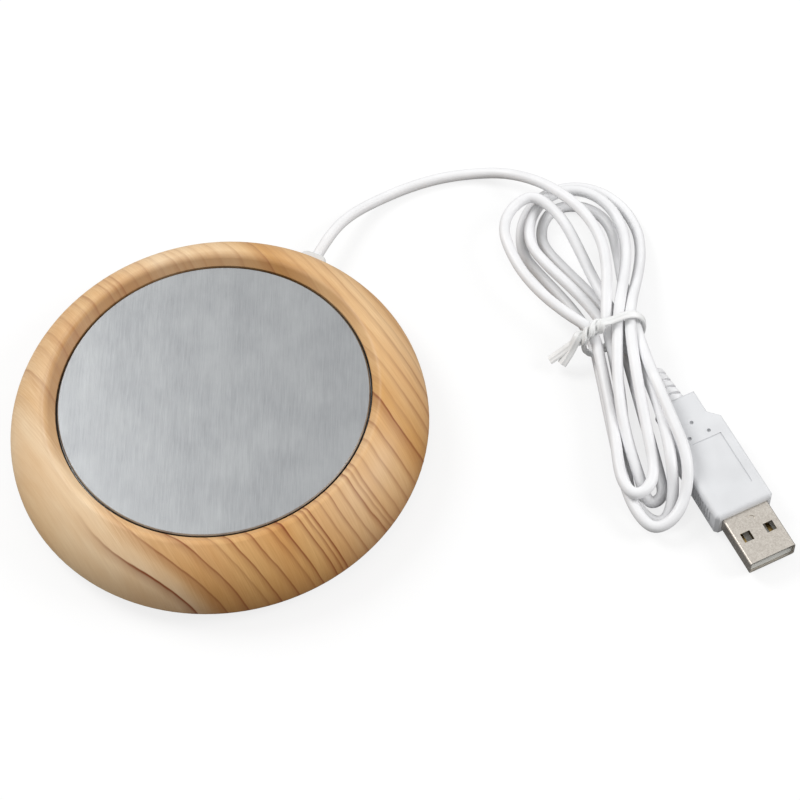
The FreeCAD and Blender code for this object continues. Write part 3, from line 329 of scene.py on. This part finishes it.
def add(tree, kind, inputs=None, stops=(), **settings):
    """A node of a kind with its settings. Inputs go by name, or by number where names repeat, and each
    gets a value, a node's output or a node. Stops are a colour ramp's places and colours."""
    node = tree.nodes.new("ShaderNode" + kind)
    for name, setting in settings.items():
        setattr(node, name, setting)
    sockets = [socket for socket in node.inputs if socket.enabled]
    named = {socket.name: socket for socket in reversed(sockets)}
    for key, source in (inputs or {}).items():
        socket = sockets[key] if isinstance(key, int) else named[key]
        if isinstance(source, bpy.types.Node):
            source = next(output for output in source.outputs if output.enabled)
        if isinstance(source, bpy.types.NodeSocket):
            tree.links.new(source, socket)
        else:
            socket.default_value = source
    for count, (place, colour) in enumerate(stops):
        elements = node.color_ramp.elements
        element = elements[count] if count < len(elements) else elements.new(place)
        element.position = place
        element.color = colour
    return node


def new_material(name):
    """An empty material and its node tree."""
    material = bpy.data.materials.new(name)
    material.use_nodes = True
    material.node_tree.nodes.clear()
    return material, material.node_tree


def millimetres(tree, turn=0):
    """The piece's own coordinates in millimetres, turned about the upright axis by degrees."""
    place = add(tree, "TexCoord").outputs["Object"]
    return add(tree, "Mapping", {"Vector": place, "Scale": (1 / MM, 1 / MM, 1 / MM),
                                 "Rotation": (0, 0, math.radians(turn))})


def drift(tree, place, lengths, low, high, detail=2.0):
    """A number that drifts from low to high, over lengths in millimetres along X, Y and Z."""
    scale = tuple(1 / length for length in lengths)
    stretched = add(tree, "Mapping", {"Vector": place, "Scale": scale})
    noise = add(tree, "TexNoise", {"Vector": stretched, "Scale": 1.0, "Detail": detail})
    return add(tree, "MapRange", {"Value": noise, "From Min": NOISE_LOW, "From Max": NOISE_HIGH,
                                  "To Min": low, "To Max": high})


# Wood print: the lines run across the whole ring, as on a plank, and lean at the near edge

# Degrees that turn X across the grain and Y along it, and half the print's width
GRAIN_TURN = -30
GRAIN_REACH = 56
# Growth lines: place across the grain, depth, and how far the line fades in before it
GRAIN_LINES = [
    (-42.7, 0.95, 2.0),
    (-36.8, 0.75, 3.0),
    (-31.6, 0.95, 2.2),
    (-26.1, 0.45, 1.4),
    (-22.5, 0.85, 2.0),
    (-17.5, 0.75, 1.8),
    (-12.7, 0.55, 1.4),
    (-9.8, 1.0, 1.8),
    (-4.9, 0.85, 1.6),
    (-2.6, 0.6, 1.0),
    (-1.0, 0.85, 1.0),
    (2.7, 0.4, 1.0),
    (6.5, 0.55, 1.2),
    (9.8, 0.4, 1.0),
    (13.1, 0.65, 1.2),
    (14.7, 0.4, 0.8),
    (16.1, 0.55, 0.9),
    (18.9, 0.35, 1.2),
    (22.5, 0.4, 1.2),
    (26.7, 0.55, 1.4),
    (31.7, 1.0, 3.0),
    (34.4, 0.35, 1.2),
    (37.6, 0.45, 1.2),
    (40.6, 0.5, 1.0),
    (43.6, 0.75, 1.4),
    (46.0, 0.5, 1.0),
    (48.5, 0.6, 1.0),
]
# A line fades in to a share of its depth, gets all of it over its core, and ends over its edge
LINE_CORE = 0.5
LINE_EDGE = 0.28
CORE_DEPTH = 0.42
LINES_IN_RAMP = 7
# The wood's own tones, and where each lies across the grain between the growth lines
CREAM = "#EFD5B0"
PALE = "#EBCDA4"
SAND = "#E6C395"
TAN = "#E2BC8A"
AMBER = "#D1A267"
GROUND_TONES = [
    (-52, TAN), (-45, CREAM), (-40, CREAM), (-36, SAND), (-31, PALE), (-24, SAND),
    (-17, SAND), (-10, TAN), (-4, SAND), (4, PALE), (11, CREAM), (17, PALE),
    (24, PALE), (29, TAN), (33, AMBER), (38, TAN), (46, SAND), (52, AMBER),
]
# How much deeper the honey tone gets towards the near edge, by place across the grain
HONEY_SHARES = [
    (-56, 0.1), (-42, 0.15), (-38, 0.9), (-20, 0.8), (-8, 0.7), (5, 0.5), (20, 0.35), (30, 0.6),
]
# Left of this place across the grain the lines lean by this slope
BEND_STARTS = 11
BEND_SLOPE = 0.22
# The places along the grain between which the near edge's look comes in
NEAR_EDGE = (-12, -50)
# How far the lines run on across the grain down the outer wall, between two heights
WALL_HEIGHTS = (18, 4)
WALL_SHIFT = -3
# The places along the grain between which the lines deepen, and how deep they get
STRONG_LINES = (-6, -30)
NEAR_LINE_DEPTH = 1.25
# How deep the lines are away from the near edge, by place across the grain
FAR_LINE_DEPTHS = [(-56, 0.0), (-38, 0.05), (-33, 0.5), (50, 0.6)]
# How much the fibres show where there is no honey tone
PLAIN_FIGURE = 0.3
# Painted shade, darkened into the print: on the lip's far slope, by radius and place along the grain,
# and low on the near wall, by height
LIP_RADII = (42.0, 39.5)
LIP_ALONG = (-8, 25)
LIP_SHADE = 0.6
LOW_WALL = (14, 3)
LOW_WALL_SHADE = 0.6
# Sizes of the print's patterns in millimetres: across the grain, along it and upright. Real fibres
# are finer than 0.28 mm, which is as thin as the render shows
SLOW_WANDER = (22, 60, 40)
QUICK_WANDER = (4, 12, 12)
PATCHES = (6, 26, 26)
FADING = (9, 34, 34)
FIBRES = (0.28, 8, 8)
LACQUER_FLOW = (0.5, 8, 8)
FIBRE_RELIEF = 0.03
HONEY = "#D19C55"
PATCH_TAN = "#E2BC86"
FIBRE_BROWN = "#A8702E"
# The brown of the painted shade on the lip's far slope and low on the near wall
PAINTED_SHADE_BROWN = "#8E5D2B"
LINE_BROWN = "#7F3B09"


def grain_place(tree, place, near_edge):
    """The coordinate across the grain, with the lines' bend at the near edge and a slow wander."""
    parts = add(tree, "SeparateXYZ", {"Vector": place}).outputs
    along_x = parts["X"]
    past_start = add(tree, "Math", {0: along_x, 1: BEND_STARTS}, operation="SUBTRACT")
    left = add(tree, "Math", {0: past_start, 1: 0.0}, operation="MINIMUM")
    slope = add(tree, "Math", {0: left, 1: BEND_SLOPE}, operation="MULTIPLY")
    wall = add(tree, "MapRange", {"Value": parts["Z"], "From Min": WALL_HEIGHTS[0],
                                  "From Max": WALL_HEIGHTS[1], "To Max": WALL_SHIFT})
    lean = add(tree, "Math", {0: slope, 1: wall}, operation="ADD")
    bend = add(tree, "Math", {0: lean, 1: near_edge}, operation="MULTIPLY")
    slow = drift(tree, place, SLOW_WANDER, low=-0.6, high=0.6, detail=1)
    quick = drift(tree, place, QUICK_WANDER, low=-0.22, high=0.22)
    wander = add(tree, "Math", {0: slow, 1: quick}, operation="ADD")
    bent = add(tree, "Math", {0: along_x, 1: bend}, operation="ADD")
    return add(tree, "Math", {0: bent, 1: wander}, operation="ADD")


def growth_lines(tree, line_place):
    """The depth of the growth lines. Each ramp holds a few, so that their thin cores stay sharp."""
    depth = None
    for start in range(0, len(GRAIN_LINES), LINES_IN_RAMP):
        group = GRAIN_LINES[start:start + LINES_IN_RAMP]
        low = group[0][0] - group[0][2]
        high = group[-1][0] + LINE_EDGE
        places = []
        for spot, strength, fade in group:
            places.append((spot - fade, 0))
            places.append((spot - LINE_CORE, CORE_DEPTH * strength))
            places.append((spot, strength))
            places.append((spot + LINE_EDGE, 0))
        stops = [((spot - low) / (high - low), grey(level)) for spot, level in sorted(places)]
        share = add(tree, "MapRange", {"Value": line_place, "From Min": low, "From Max": high})
        lines = add(tree, "ValToRGB", {"Fac": share}, stops=stops)
        depth = add(tree, "Math", {0: depth, 1: lines}, operation="MAXIMUM") if depth else lines
    return depth


def across(place):
    """A place across the grain as a share of the print's width."""
    return (place + GRAIN_REACH) / (2 * GRAIN_REACH)


def add_painted_shade(tree, place, near_edge, tone):
    """The tone, darkened with painted shade on the lip's far slope and low on the near wall."""
    parts = add(tree, "SeparateXYZ", {"Vector": place}).outputs
    flat = add(tree, "Mapping", {"Vector": place, "Scale": (1, 1, 0)})
    radius = add(tree, "VectorMath", {0: flat}, operation="LENGTH").outputs["Value"]
    slope = add(tree, "MapRange", {"Value": radius, "From Min": LIP_RADII[0], "From Max": LIP_RADII[1]})
    far = add(tree, "MapRange", {"Value": parts["Y"], "From Min": LIP_ALONG[0],
                                 "From Max": LIP_ALONG[1], "To Max": LIP_SHADE})
    lip = add(tree, "Math", {0: slope, 1: far}, operation="MULTIPLY")
    low = add(tree, "MapRange", {"Value": parts["Z"], "From Min": LOW_WALL[0], "From Max": LOW_WALL[1],
                                 "To Max": LOW_WALL_SHADE})
    wall = add(tree, "Math", {0: low, 1: near_edge}, operation="MULTIPLY")
    depth = add(tree, "Math", {0: lip, 1: wall}, operation="MAXIMUM")
    return add(tree, "Mix", {"Factor": depth, "A": tone, "B": shade(PAINTED_SHADE_BROWN)}, data_type="RGBA")


def wood_print():
    """ABS moulding with a water-transfer wood print under satin lacquer: pale plank figure that turns
    honey at the near edge, fine fibres and thin dark growth lines, and a soft sheen over all."""
    material, tree = new_material("wood_print_satin_lacquer")
    place = millimetres(tree, GRAIN_TURN)
    along_y = add(tree, "SeparateXYZ", {"Vector": place}).outputs["Y"]
    near_edge = add(tree, "MapRange", {"Value": along_y, "From Min": NEAR_EDGE[0],
                                       "From Max": NEAR_EDGE[1]}, interpolation_type="SMOOTHSTEP")
    line_place = grain_place(tree, place, near_edge)
    share = add(tree, "MapRange", {"Value": line_place, "From Min": -GRAIN_REACH,
                                   "From Max": GRAIN_REACH})
    ground = add(tree, "ValToRGB", {"Fac": share},
                 stops=[(across(spot), shade(code)) for spot, code in GROUND_TONES])
    honey = add(tree, "ValToRGB", {"Fac": share},
                stops=[(across(spot), grey(level)) for spot, level in HONEY_SHARES])
    honey_share = add(tree, "Math", {0: honey, 1: near_edge}, operation="MULTIPLY")
    warmed = add(tree, "Mix", {"Factor": honey_share, "A": ground, "B": shade(HONEY)}, data_type="RGBA")
    # Painted shade: the lip's far slope and the low near wall are darkened towards brown
    shaded_tone = add_painted_shade(tree, place, near_edge, warmed)
    patches = drift(tree, place, PATCHES, low=0.0, high=0.4, detail=3)
    toned = add(tree, "Mix", {"Factor": patches, "A": shaded_tone, "B": shade(PATCH_TAN)},
                data_type="RGBA", blend_type="MULTIPLY")
    figure = add(tree, "Math", {0: honey, 1: PLAIN_FIGURE}, operation="ADD")
    fine = drift(tree, place, FIBRES, low=0.0, high=0.28, detail=3)
    fibres = add(tree, "Math", {0: fine, 1: figure}, operation="MULTIPLY")
    fibred = add(tree, "Mix", {"Factor": fibres, "A": toned, "B": shade(FIBRE_BROWN)}, data_type="RGBA")
    fading = drift(tree, place, FADING, low=0.65, high=1.0, detail=1)
    far_depth = add(tree, "ValToRGB", {"Fac": share},
                    stops=[(across(spot), grey(level)) for spot, level in FAR_LINE_DEPTHS])
    nearness = add(tree, "MapRange", {"Value": along_y, "From Min": STRONG_LINES[0],
                                      "From Max": STRONG_LINES[1], "To Min": far_depth,
                                      "To Max": NEAR_LINE_DEPTH})
    strength = add(tree, "Math", {0: fading, 1: nearness}, operation="MULTIPLY")
    lines = growth_lines(tree, line_place)
    line_share = add(tree, "Math", {0: lines, 1: strength}, operation="MULTIPLY")
    colour = add(tree, "Mix", {"Factor": line_share, "A": fibred, "B": shade(LINE_BROWN)},
                 data_type="RGBA")
    sheen = drift(tree, place, LACQUER_FLOW, low=0.42, high=0.52)
    relief = add(tree, "Bump", {"Height": fine, "Strength": 0.12, "Distance": FIBRE_RELIEF * MM})
    shader = add(tree, "BsdfPrincipled", {
        "Base Color": colour, "Roughness": sheen, "IOR": 1.5, "Specular IOR Level": 0.3,
        "Normal": relief, "Coat Weight": 0.08, "Coat Roughness": 0.42})
    add(tree, "OutputMaterial", {"Surface": shader})
    return material


# Metals

# Degrees by which the strokes are turned, as in the photograph
BRUSH_TURN = -85
# Sizes of the sheet's patterns in millimetres. Real strokes are finer than 0.13 mm and wouldn't show
STROKES = (5, 0.13, 5)
BANDS = (30, 1.4, 30)
CLOUDS = (10, 7, 7)
STROKE_RELIEF = 0.015
# How far a metal's bump can reach, in millimetres, and how its roughness spreads round its own
METAL_RELIEF = 0.05
METAL_SPREAD = (-0.05, 0.08)


def brushed_aluminium():
    """Aluminium sheet, brushed in straight strokes and anodised clear: fine grey lines one way,
    soft clouds, and a highlight that spreads across the strokes."""
    material, tree = new_material("brushed_anodised_aluminium")
    place = millimetres(tree, BRUSH_TURN)
    fine = drift(tree, place, STROKES, low=0, high=1, detail=3)
    strokes = add(tree, "Mix", {"Factor": fine, "A": shade("#8F9193"), "B": shade("#9B9D9F")},
                  data_type="RGBA")
    broad = drift(tree, place, BANDS, low=0, high=0.14)
    banded = add(tree, "Mix", {"Factor": broad, "A": strokes, "B": shade("#87898B")}, data_type="RGBA")
    clouds = drift(tree, place, CLOUDS, low=0, high=0.5, detail=4)
    colour = add(tree, "Mix", {"Factor": clouds, "A": banded, "B": shade("#A9ABAC")}, data_type="RGBA")
    roughness = drift(tree, place, STROKES, low=0.32, high=0.38, detail=3)
    relief = add(tree, "Bump", {"Height": fine, "Strength": 0.25, "Distance": STROKE_RELIEF * MM})
    shader = add(tree, "BsdfPrincipled", {
        "Base Color": colour, "Metallic": 1.0, "Roughness": roughness, "Normal": relief})
    add(tree, "OutputMaterial", {"Surface": shader})
    return material


def metal(name, dull, bright, roughness, grit, mottle=4.0):
    """A plated or rolled metal: mottled by slight wear over lengths of mottle, and with grit from its
    making, both in millimetres."""
    material, tree = new_material(name)
    place = millimetres(tree)
    clouds = drift(tree, place, (mottle, mottle, mottle), low=0, high=1, detail=3)
    colour = add(tree, "Mix", {"Factor": clouds, "A": shade(dull), "B": shade(bright)},
                 data_type="RGBA")
    gloss = drift(tree, place, (grit, grit, grit), low=roughness + METAL_SPREAD[0],
                  high=roughness + METAL_SPREAD[1], detail=3)
    relief = add(tree, "Bump", {"Height": gloss, "Strength": 0.4, "Distance": METAL_RELIEF * MM})
    shader = add(tree, "BsdfPrincipled", {
        "Base Color": colour, "Metallic": 1.0, "Roughness": gloss, "Normal": relief})
    add(tree, "OutputMaterial", {"Surface": shader})
    return material


# Plastics, rubber and fibre

# The length over which a moulding's tone drifts and how far its bump can reach, in millimetres,
# and how its roughness spreads round its own
TONE_DRIFT = 9
GRIT_RELIEF = 0.01
PLASTIC_SPREAD = (-0.05, 0.07)
# A pressed fibre's length and thickness, and how far it stands up
PAD_FIBRE_LENGTH = 2.5
PAD_FIBRE_WIDTH = 0.18
PAD_FIBRE_RELIEF = 0.1
# From one ring of the heater's track to the next, its thickness, and a wave's length at scale 1
TRACK_PITCH = 3.14
TRACK_RELIEF = 0.05
WAVE_LENGTH = math.tau / 20


def plastic(name, dark, light, roughness, grit, bump=0.2, coat=0.0):
    """A moulded or drawn plastic: its tone drifts a little, and its grit, of a size in millimetres,
    breaks up the highlight."""
    material, tree = new_material(name)
    place = millimetres(tree)
    clouds = drift(tree, place, (TONE_DRIFT, TONE_DRIFT, TONE_DRIFT), low=0, high=1)
    colour = add(tree, "Mix", {"Factor": clouds, "A": shade(dark), "B": shade(light)}, data_type="RGBA")
    fine = drift(tree, place, (grit, grit, grit), low=0, high=1)
    gloss = drift(tree, place, (grit, grit, grit), low=roughness + PLASTIC_SPREAD[0],
                  high=roughness + PLASTIC_SPREAD[1])
    relief = add(tree, "Bump", {"Height": fine, "Strength": bump, "Distance": GRIT_RELIEF * MM})
    shader = add(tree, "BsdfPrincipled", {
        "Base Color": colour, "IOR": 1.5, "Roughness": gloss, "Normal": relief,
        "Coat Weight": coat, "Coat Roughness": 0.2})
    add(tree, "OutputMaterial", {"Surface": shader})
    return material


def pressed_fibre():
    """Ceramic fibre pressed in a pad: short crossing fibres in dull off-white."""
    material, tree = new_material("pressed_ceramic_fibre")
    place = millimetres(tree)
    along = drift(tree, place, (PAD_FIBRE_LENGTH, PAD_FIBRE_WIDTH, PAD_FIBRE_WIDTH), low=0, high=1)
    athwart = drift(tree, place, (PAD_FIBRE_WIDTH, PAD_FIBRE_LENGTH, PAD_FIBRE_WIDTH), low=0, high=1)
    fibres = add(tree, "Math", {0: along, 1: athwart}, operation="MAXIMUM")
    colour = add(tree, "Mix", {"Factor": fibres, "A": shade("#CFCABD"), "B": shade("#EEEBE2")},
                 data_type="RGBA")
    relief = add(tree, "Bump", {"Height": fibres, "Strength": 0.6, "Distance": PAD_FIBRE_RELIEF * MM})
    shader = add(tree, "BsdfPrincipled", {"Base Color": colour, "Roughness": 0.95, "Normal": relief})
    add(tree, "OutputMaterial", {"Surface": shader})
    return material


def heater_foil():
    """Polyimide film over an etched foil track: amber, with the track's rings showing through."""
    material, tree = new_material("polyimide_film_etched_foil")
    place = millimetres(tree)
    rings = add(tree, "TexWave", {"Vector": place, "Scale": WAVE_LENGTH / TRACK_PITCH,
                                  "Distortion": 0.0}, wave_type="RINGS", rings_direction="Z")
    track = add(tree, "ValToRGB", {"Fac": rings}, stops=[(0.45, grey(0)), (0.55, grey(1))])
    colour = add(tree, "Mix", {"Factor": track, "A": shade("#B4711E"), "B": shade("#8A6A44")},
                 data_type="RGBA")
    relief = add(tree, "Bump", {"Height": track, "Strength": 0.5, "Distance": TRACK_RELIEF * MM})
    shader = add(tree, "BsdfPrincipled", {
        "Base Color": colour, "Roughness": 0.28, "IOR": 1.7, "Normal": relief})
    add(tree, "OutputMaterial", {"Surface": shader})
    return material


# Soft PVC drawn over the cord: a satin white, smooth, with a soft highlight along each strand
CORD_WHITE = plastic("cord_soft_pvc_extruded", "#E6E6E7", "#EEEEEF", roughness=0.42, grit=0.5, bump=0.3)
# PVC coat on the tie's wire: nearly the same white, a little glossier
TIE_WHITE = plastic("tie_pvc_coated_wire", "#E7E8E7", "#F0F0EF", roughness=0.38, grit=0.4, bump=0.4)
# Soft PVC moulded over the plug: a matt grey-white with a fine spark texture
PLUG_WHITE = plastic("plug_soft_pvc_moulded", "#D3D4D6", "#DBDCDE", roughness=0.5, grit=0.14, bump=0.9)
# ABS moulding with a spark texture: a matt white for the cover, the gland and the cord's clamp
HOUSING_WHITE = plastic("abs_white_spark_textured", "#CFCFCE", "#D8D8D7", roughness=0.55, grit=0.25,
                        bump=1.0)
# Moulded rubber: matt near-black without a highlight
FOOT_RUBBER = plastic("rubber_moulded_matte", "#232323", "#2E2E2D", roughness=0.8, grit=0.2, bump=1.0)
# Silicone rubber: the dark line round the plate, dull and even
GASKET_RUBBER = plastic("silicone_rubber_extruded", "#1A1817", "#242120", roughness=0.6, grit=0.3)
# Steel with a zinc plate, for the screws: a cool grey shine
CAP_STEEL = metal("zinc_plated_steel", "#A9ABB0", "#C6C8CB", roughness=0.32, grit=0.3)
# Steel sheet, cold-rolled: a duller, darker grey
ROLLED_STEEL = metal("cold_rolled_steel", "#9C9FA3", "#B4B6B9", roughness=0.4, grit=0.2)
# Aluminium can, deep-drawn: a light grey shine
CASE_METAL = metal("drawn_aluminium_case", "#B3B6BA", "#CBCDD0", roughness=0.3, grit=0.2)
# Steel shell with a nickel plate: a warm silver, finely mottled
PLUG_NICKEL = metal("nickel_plated_steel", "#B7B0A7", "#D0CAC1", roughness=0.3, grit=0.12, mottle=0.4)
# Bronze strips with a thin gold plate: a dull yellow shine
CONTACT_GOLD = metal("gold_flashed_bronze", "#8C7444", "#A38A57", roughness=0.36, grit=0.1)
# PVC drawn over the conductors: glossier than the cord, in red and in black
RED_WIRE = plastic("pvc_red_extruded", "#9C1D17", "#B2261E", roughness=0.35, grit=0.4, coat=0.2)
BLACK_WIRE = plastic("pvc_black_extruded", "#161616", "#222222", roughness=0.35, grit=0.4, coat=0.2)
# Polyolefin sleeve, shrunk by heat: a dull black
SLEEVE = plastic("polyolefin_heat_shrunk", "#191919", "#282828", roughness=0.55, grit=0.3)
# PBT moulding: the plug's tongue, a warm white with a slight sheen
TONGUE = plastic("pbt_white_moulded", "#DADAD4", "#E6E6E0", roughness=0.45, grit=0.2)

FINISHES = {
    "ring_housing": wood_print(),
    "heating_plate": brushed_aluminium(),
    "base_cover": HOUSING_WHITE,
    "cable_gland": HOUSING_WHITE,
    "cord_clamp": HOUSING_WHITE,
    "rubber_feet": FOOT_RUBBER,
    "plate_gasket": GASKET_RUBBER,
    "heater_film": heater_foil(),
    "insulation_pad": pressed_fibre(),
    "backing_plate": ROLLED_STEEL,
    "cutout_strap": ROLLED_STEEL,
    "housing_screws": CAP_STEEL,
    "backing_screws": CAP_STEEL,
    "clamp_screws": CAP_STEEL,
    "thermal_cutout": CASE_METAL,
    "wire_red": RED_WIRE,
    "wire_black": BLACK_WIRE,
    "wire_link": RED_WIRE,
    "shrink_sleeves": SLEEVE,
    "cord_inner_end": CORD_WHITE,
    "usb_overmould": PLUG_WHITE,
    "usb_strain_relief": CORD_WHITE,
    "usb_shell": PLUG_NICKEL,
    "usb_tongue": TONGUE,
    "usb_contacts": CONTACT_GOLD,
}


def finish_piece(piece, material):
    """Give a piece one material all over."""
    piece.data.materials.clear()
    piece.data.materials.append(material)


for node_name, finish in FINISHES.items():
    finish_piece(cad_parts[node_name], finish)
finish_piece(cord, CORD_WHITE)
finish_piece(twist_tie, TIE_WHITE)

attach(cord, "root")
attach(twist_tie, "root")
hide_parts("cord_lead", "cord_hank")
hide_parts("twist_tie")


# Studio: a pale floor, soft light all round and two large lamps

FLOOR_SIZE = 3.0
# The paper as it throws light on the object, and as the camera sees it, with its glow
PAPER = "#8E8E8E"
SEEN_PAPER = "#808080"
PAPER_GLOW = 0.78
WHITE = "#FFFFFF"
WORLD_LIGHT = 0.54
# A lamp: its place and target in metres, its width, and its power in watts
Lamp = namedtuple("Lamp", "name place target width power")
LAMPS = [
    Lamp("key", (-0.55, 0.45, 0.72), (0.03, 0.0, 0.0), 0.5, 5.6),
    Lamp("side", (0.75, -0.05, 0.5), (0.05, 0.0, 0.0), 0.45, 3.4),
]


def white_floor():
    """A seamless paper floor: it shows near white, keeps soft shadows and throws little light up."""
    material, tree = new_material("studio_paper_matte")
    camera_ray = add(tree, "LightPath").outputs["Is Camera Ray"]
    paper = add(tree, "BsdfDiffuse", {"Color": shade(PAPER)})
    dimmed = add(tree, "BsdfDiffuse", {"Color": shade(SEEN_PAPER)})
    glow = add(tree, "Emission", {"Color": shade(WHITE), "Strength": PAPER_GLOW})
    shown = add(tree, "AddShader", {0: dimmed, 1: glow})
    shader = add(tree, "MixShader", {0: camera_ray, 1: paper, 2: shown})
    add(tree, "OutputMaterial", {"Surface": shader})
    return material


def make_floor():
    """The floor under the object's feet."""
    bpy.ops.object.select_all(action="DESELECT")
    bpy.ops.mesh.primitive_plane_add(size=FLOOR_SIZE)
    floor = bpy.context.object
    floor.name = "floor"
    finish_piece(floor, white_floor())


def light_world():
    """Even white light all round, which the camera, gloss and glass see as plain white."""
    world = bpy.data.worlds.new("studio")
    bpy.context.scene.world = world
    world.use_nodes = True
    tree = world.node_tree
    tree.nodes.clear()
    path = add(tree, "LightPath").outputs
    seen = add(tree, "Math", {0: path["Is Camera Ray"], 1: path["Is Glossy Ray"]}, operation="MAXIMUM")
    white = add(tree, "Math", {0: seen, 1: path["Is Transmission Ray"]}, operation="MAXIMUM")
    strength = add(tree, "MapRange", {"Value": white, "To Min": WORLD_LIGHT, "To Max": 1.0})
    background = add(tree, "Background", {"Color": shade(WHITE), "Strength": strength})
    add(tree, "OutputWorld", {"Surface": background})


def add_lamps():
    """The soft lamps, each turned to its target."""
    for lamp in LAMPS:
        data = bpy.data.lights.new(lamp.name, "AREA")
        data.shape = "DISK"
        data.size = lamp.width
        data.energy = lamp.power
        light = bpy.data.objects.new(lamp.name, data)
        light.location = lamp.place
        aim = Vector(lamp.target) - Vector(lamp.place)
        light.rotation_euler = aim.to_track_quat("-Z", "Y").to_euler()
        bpy.context.scene.collection.objects.link(light)


make_floor()
light_world()
add_lamps()
bpy.context.scene.view_settings.view_transform = "Standard"
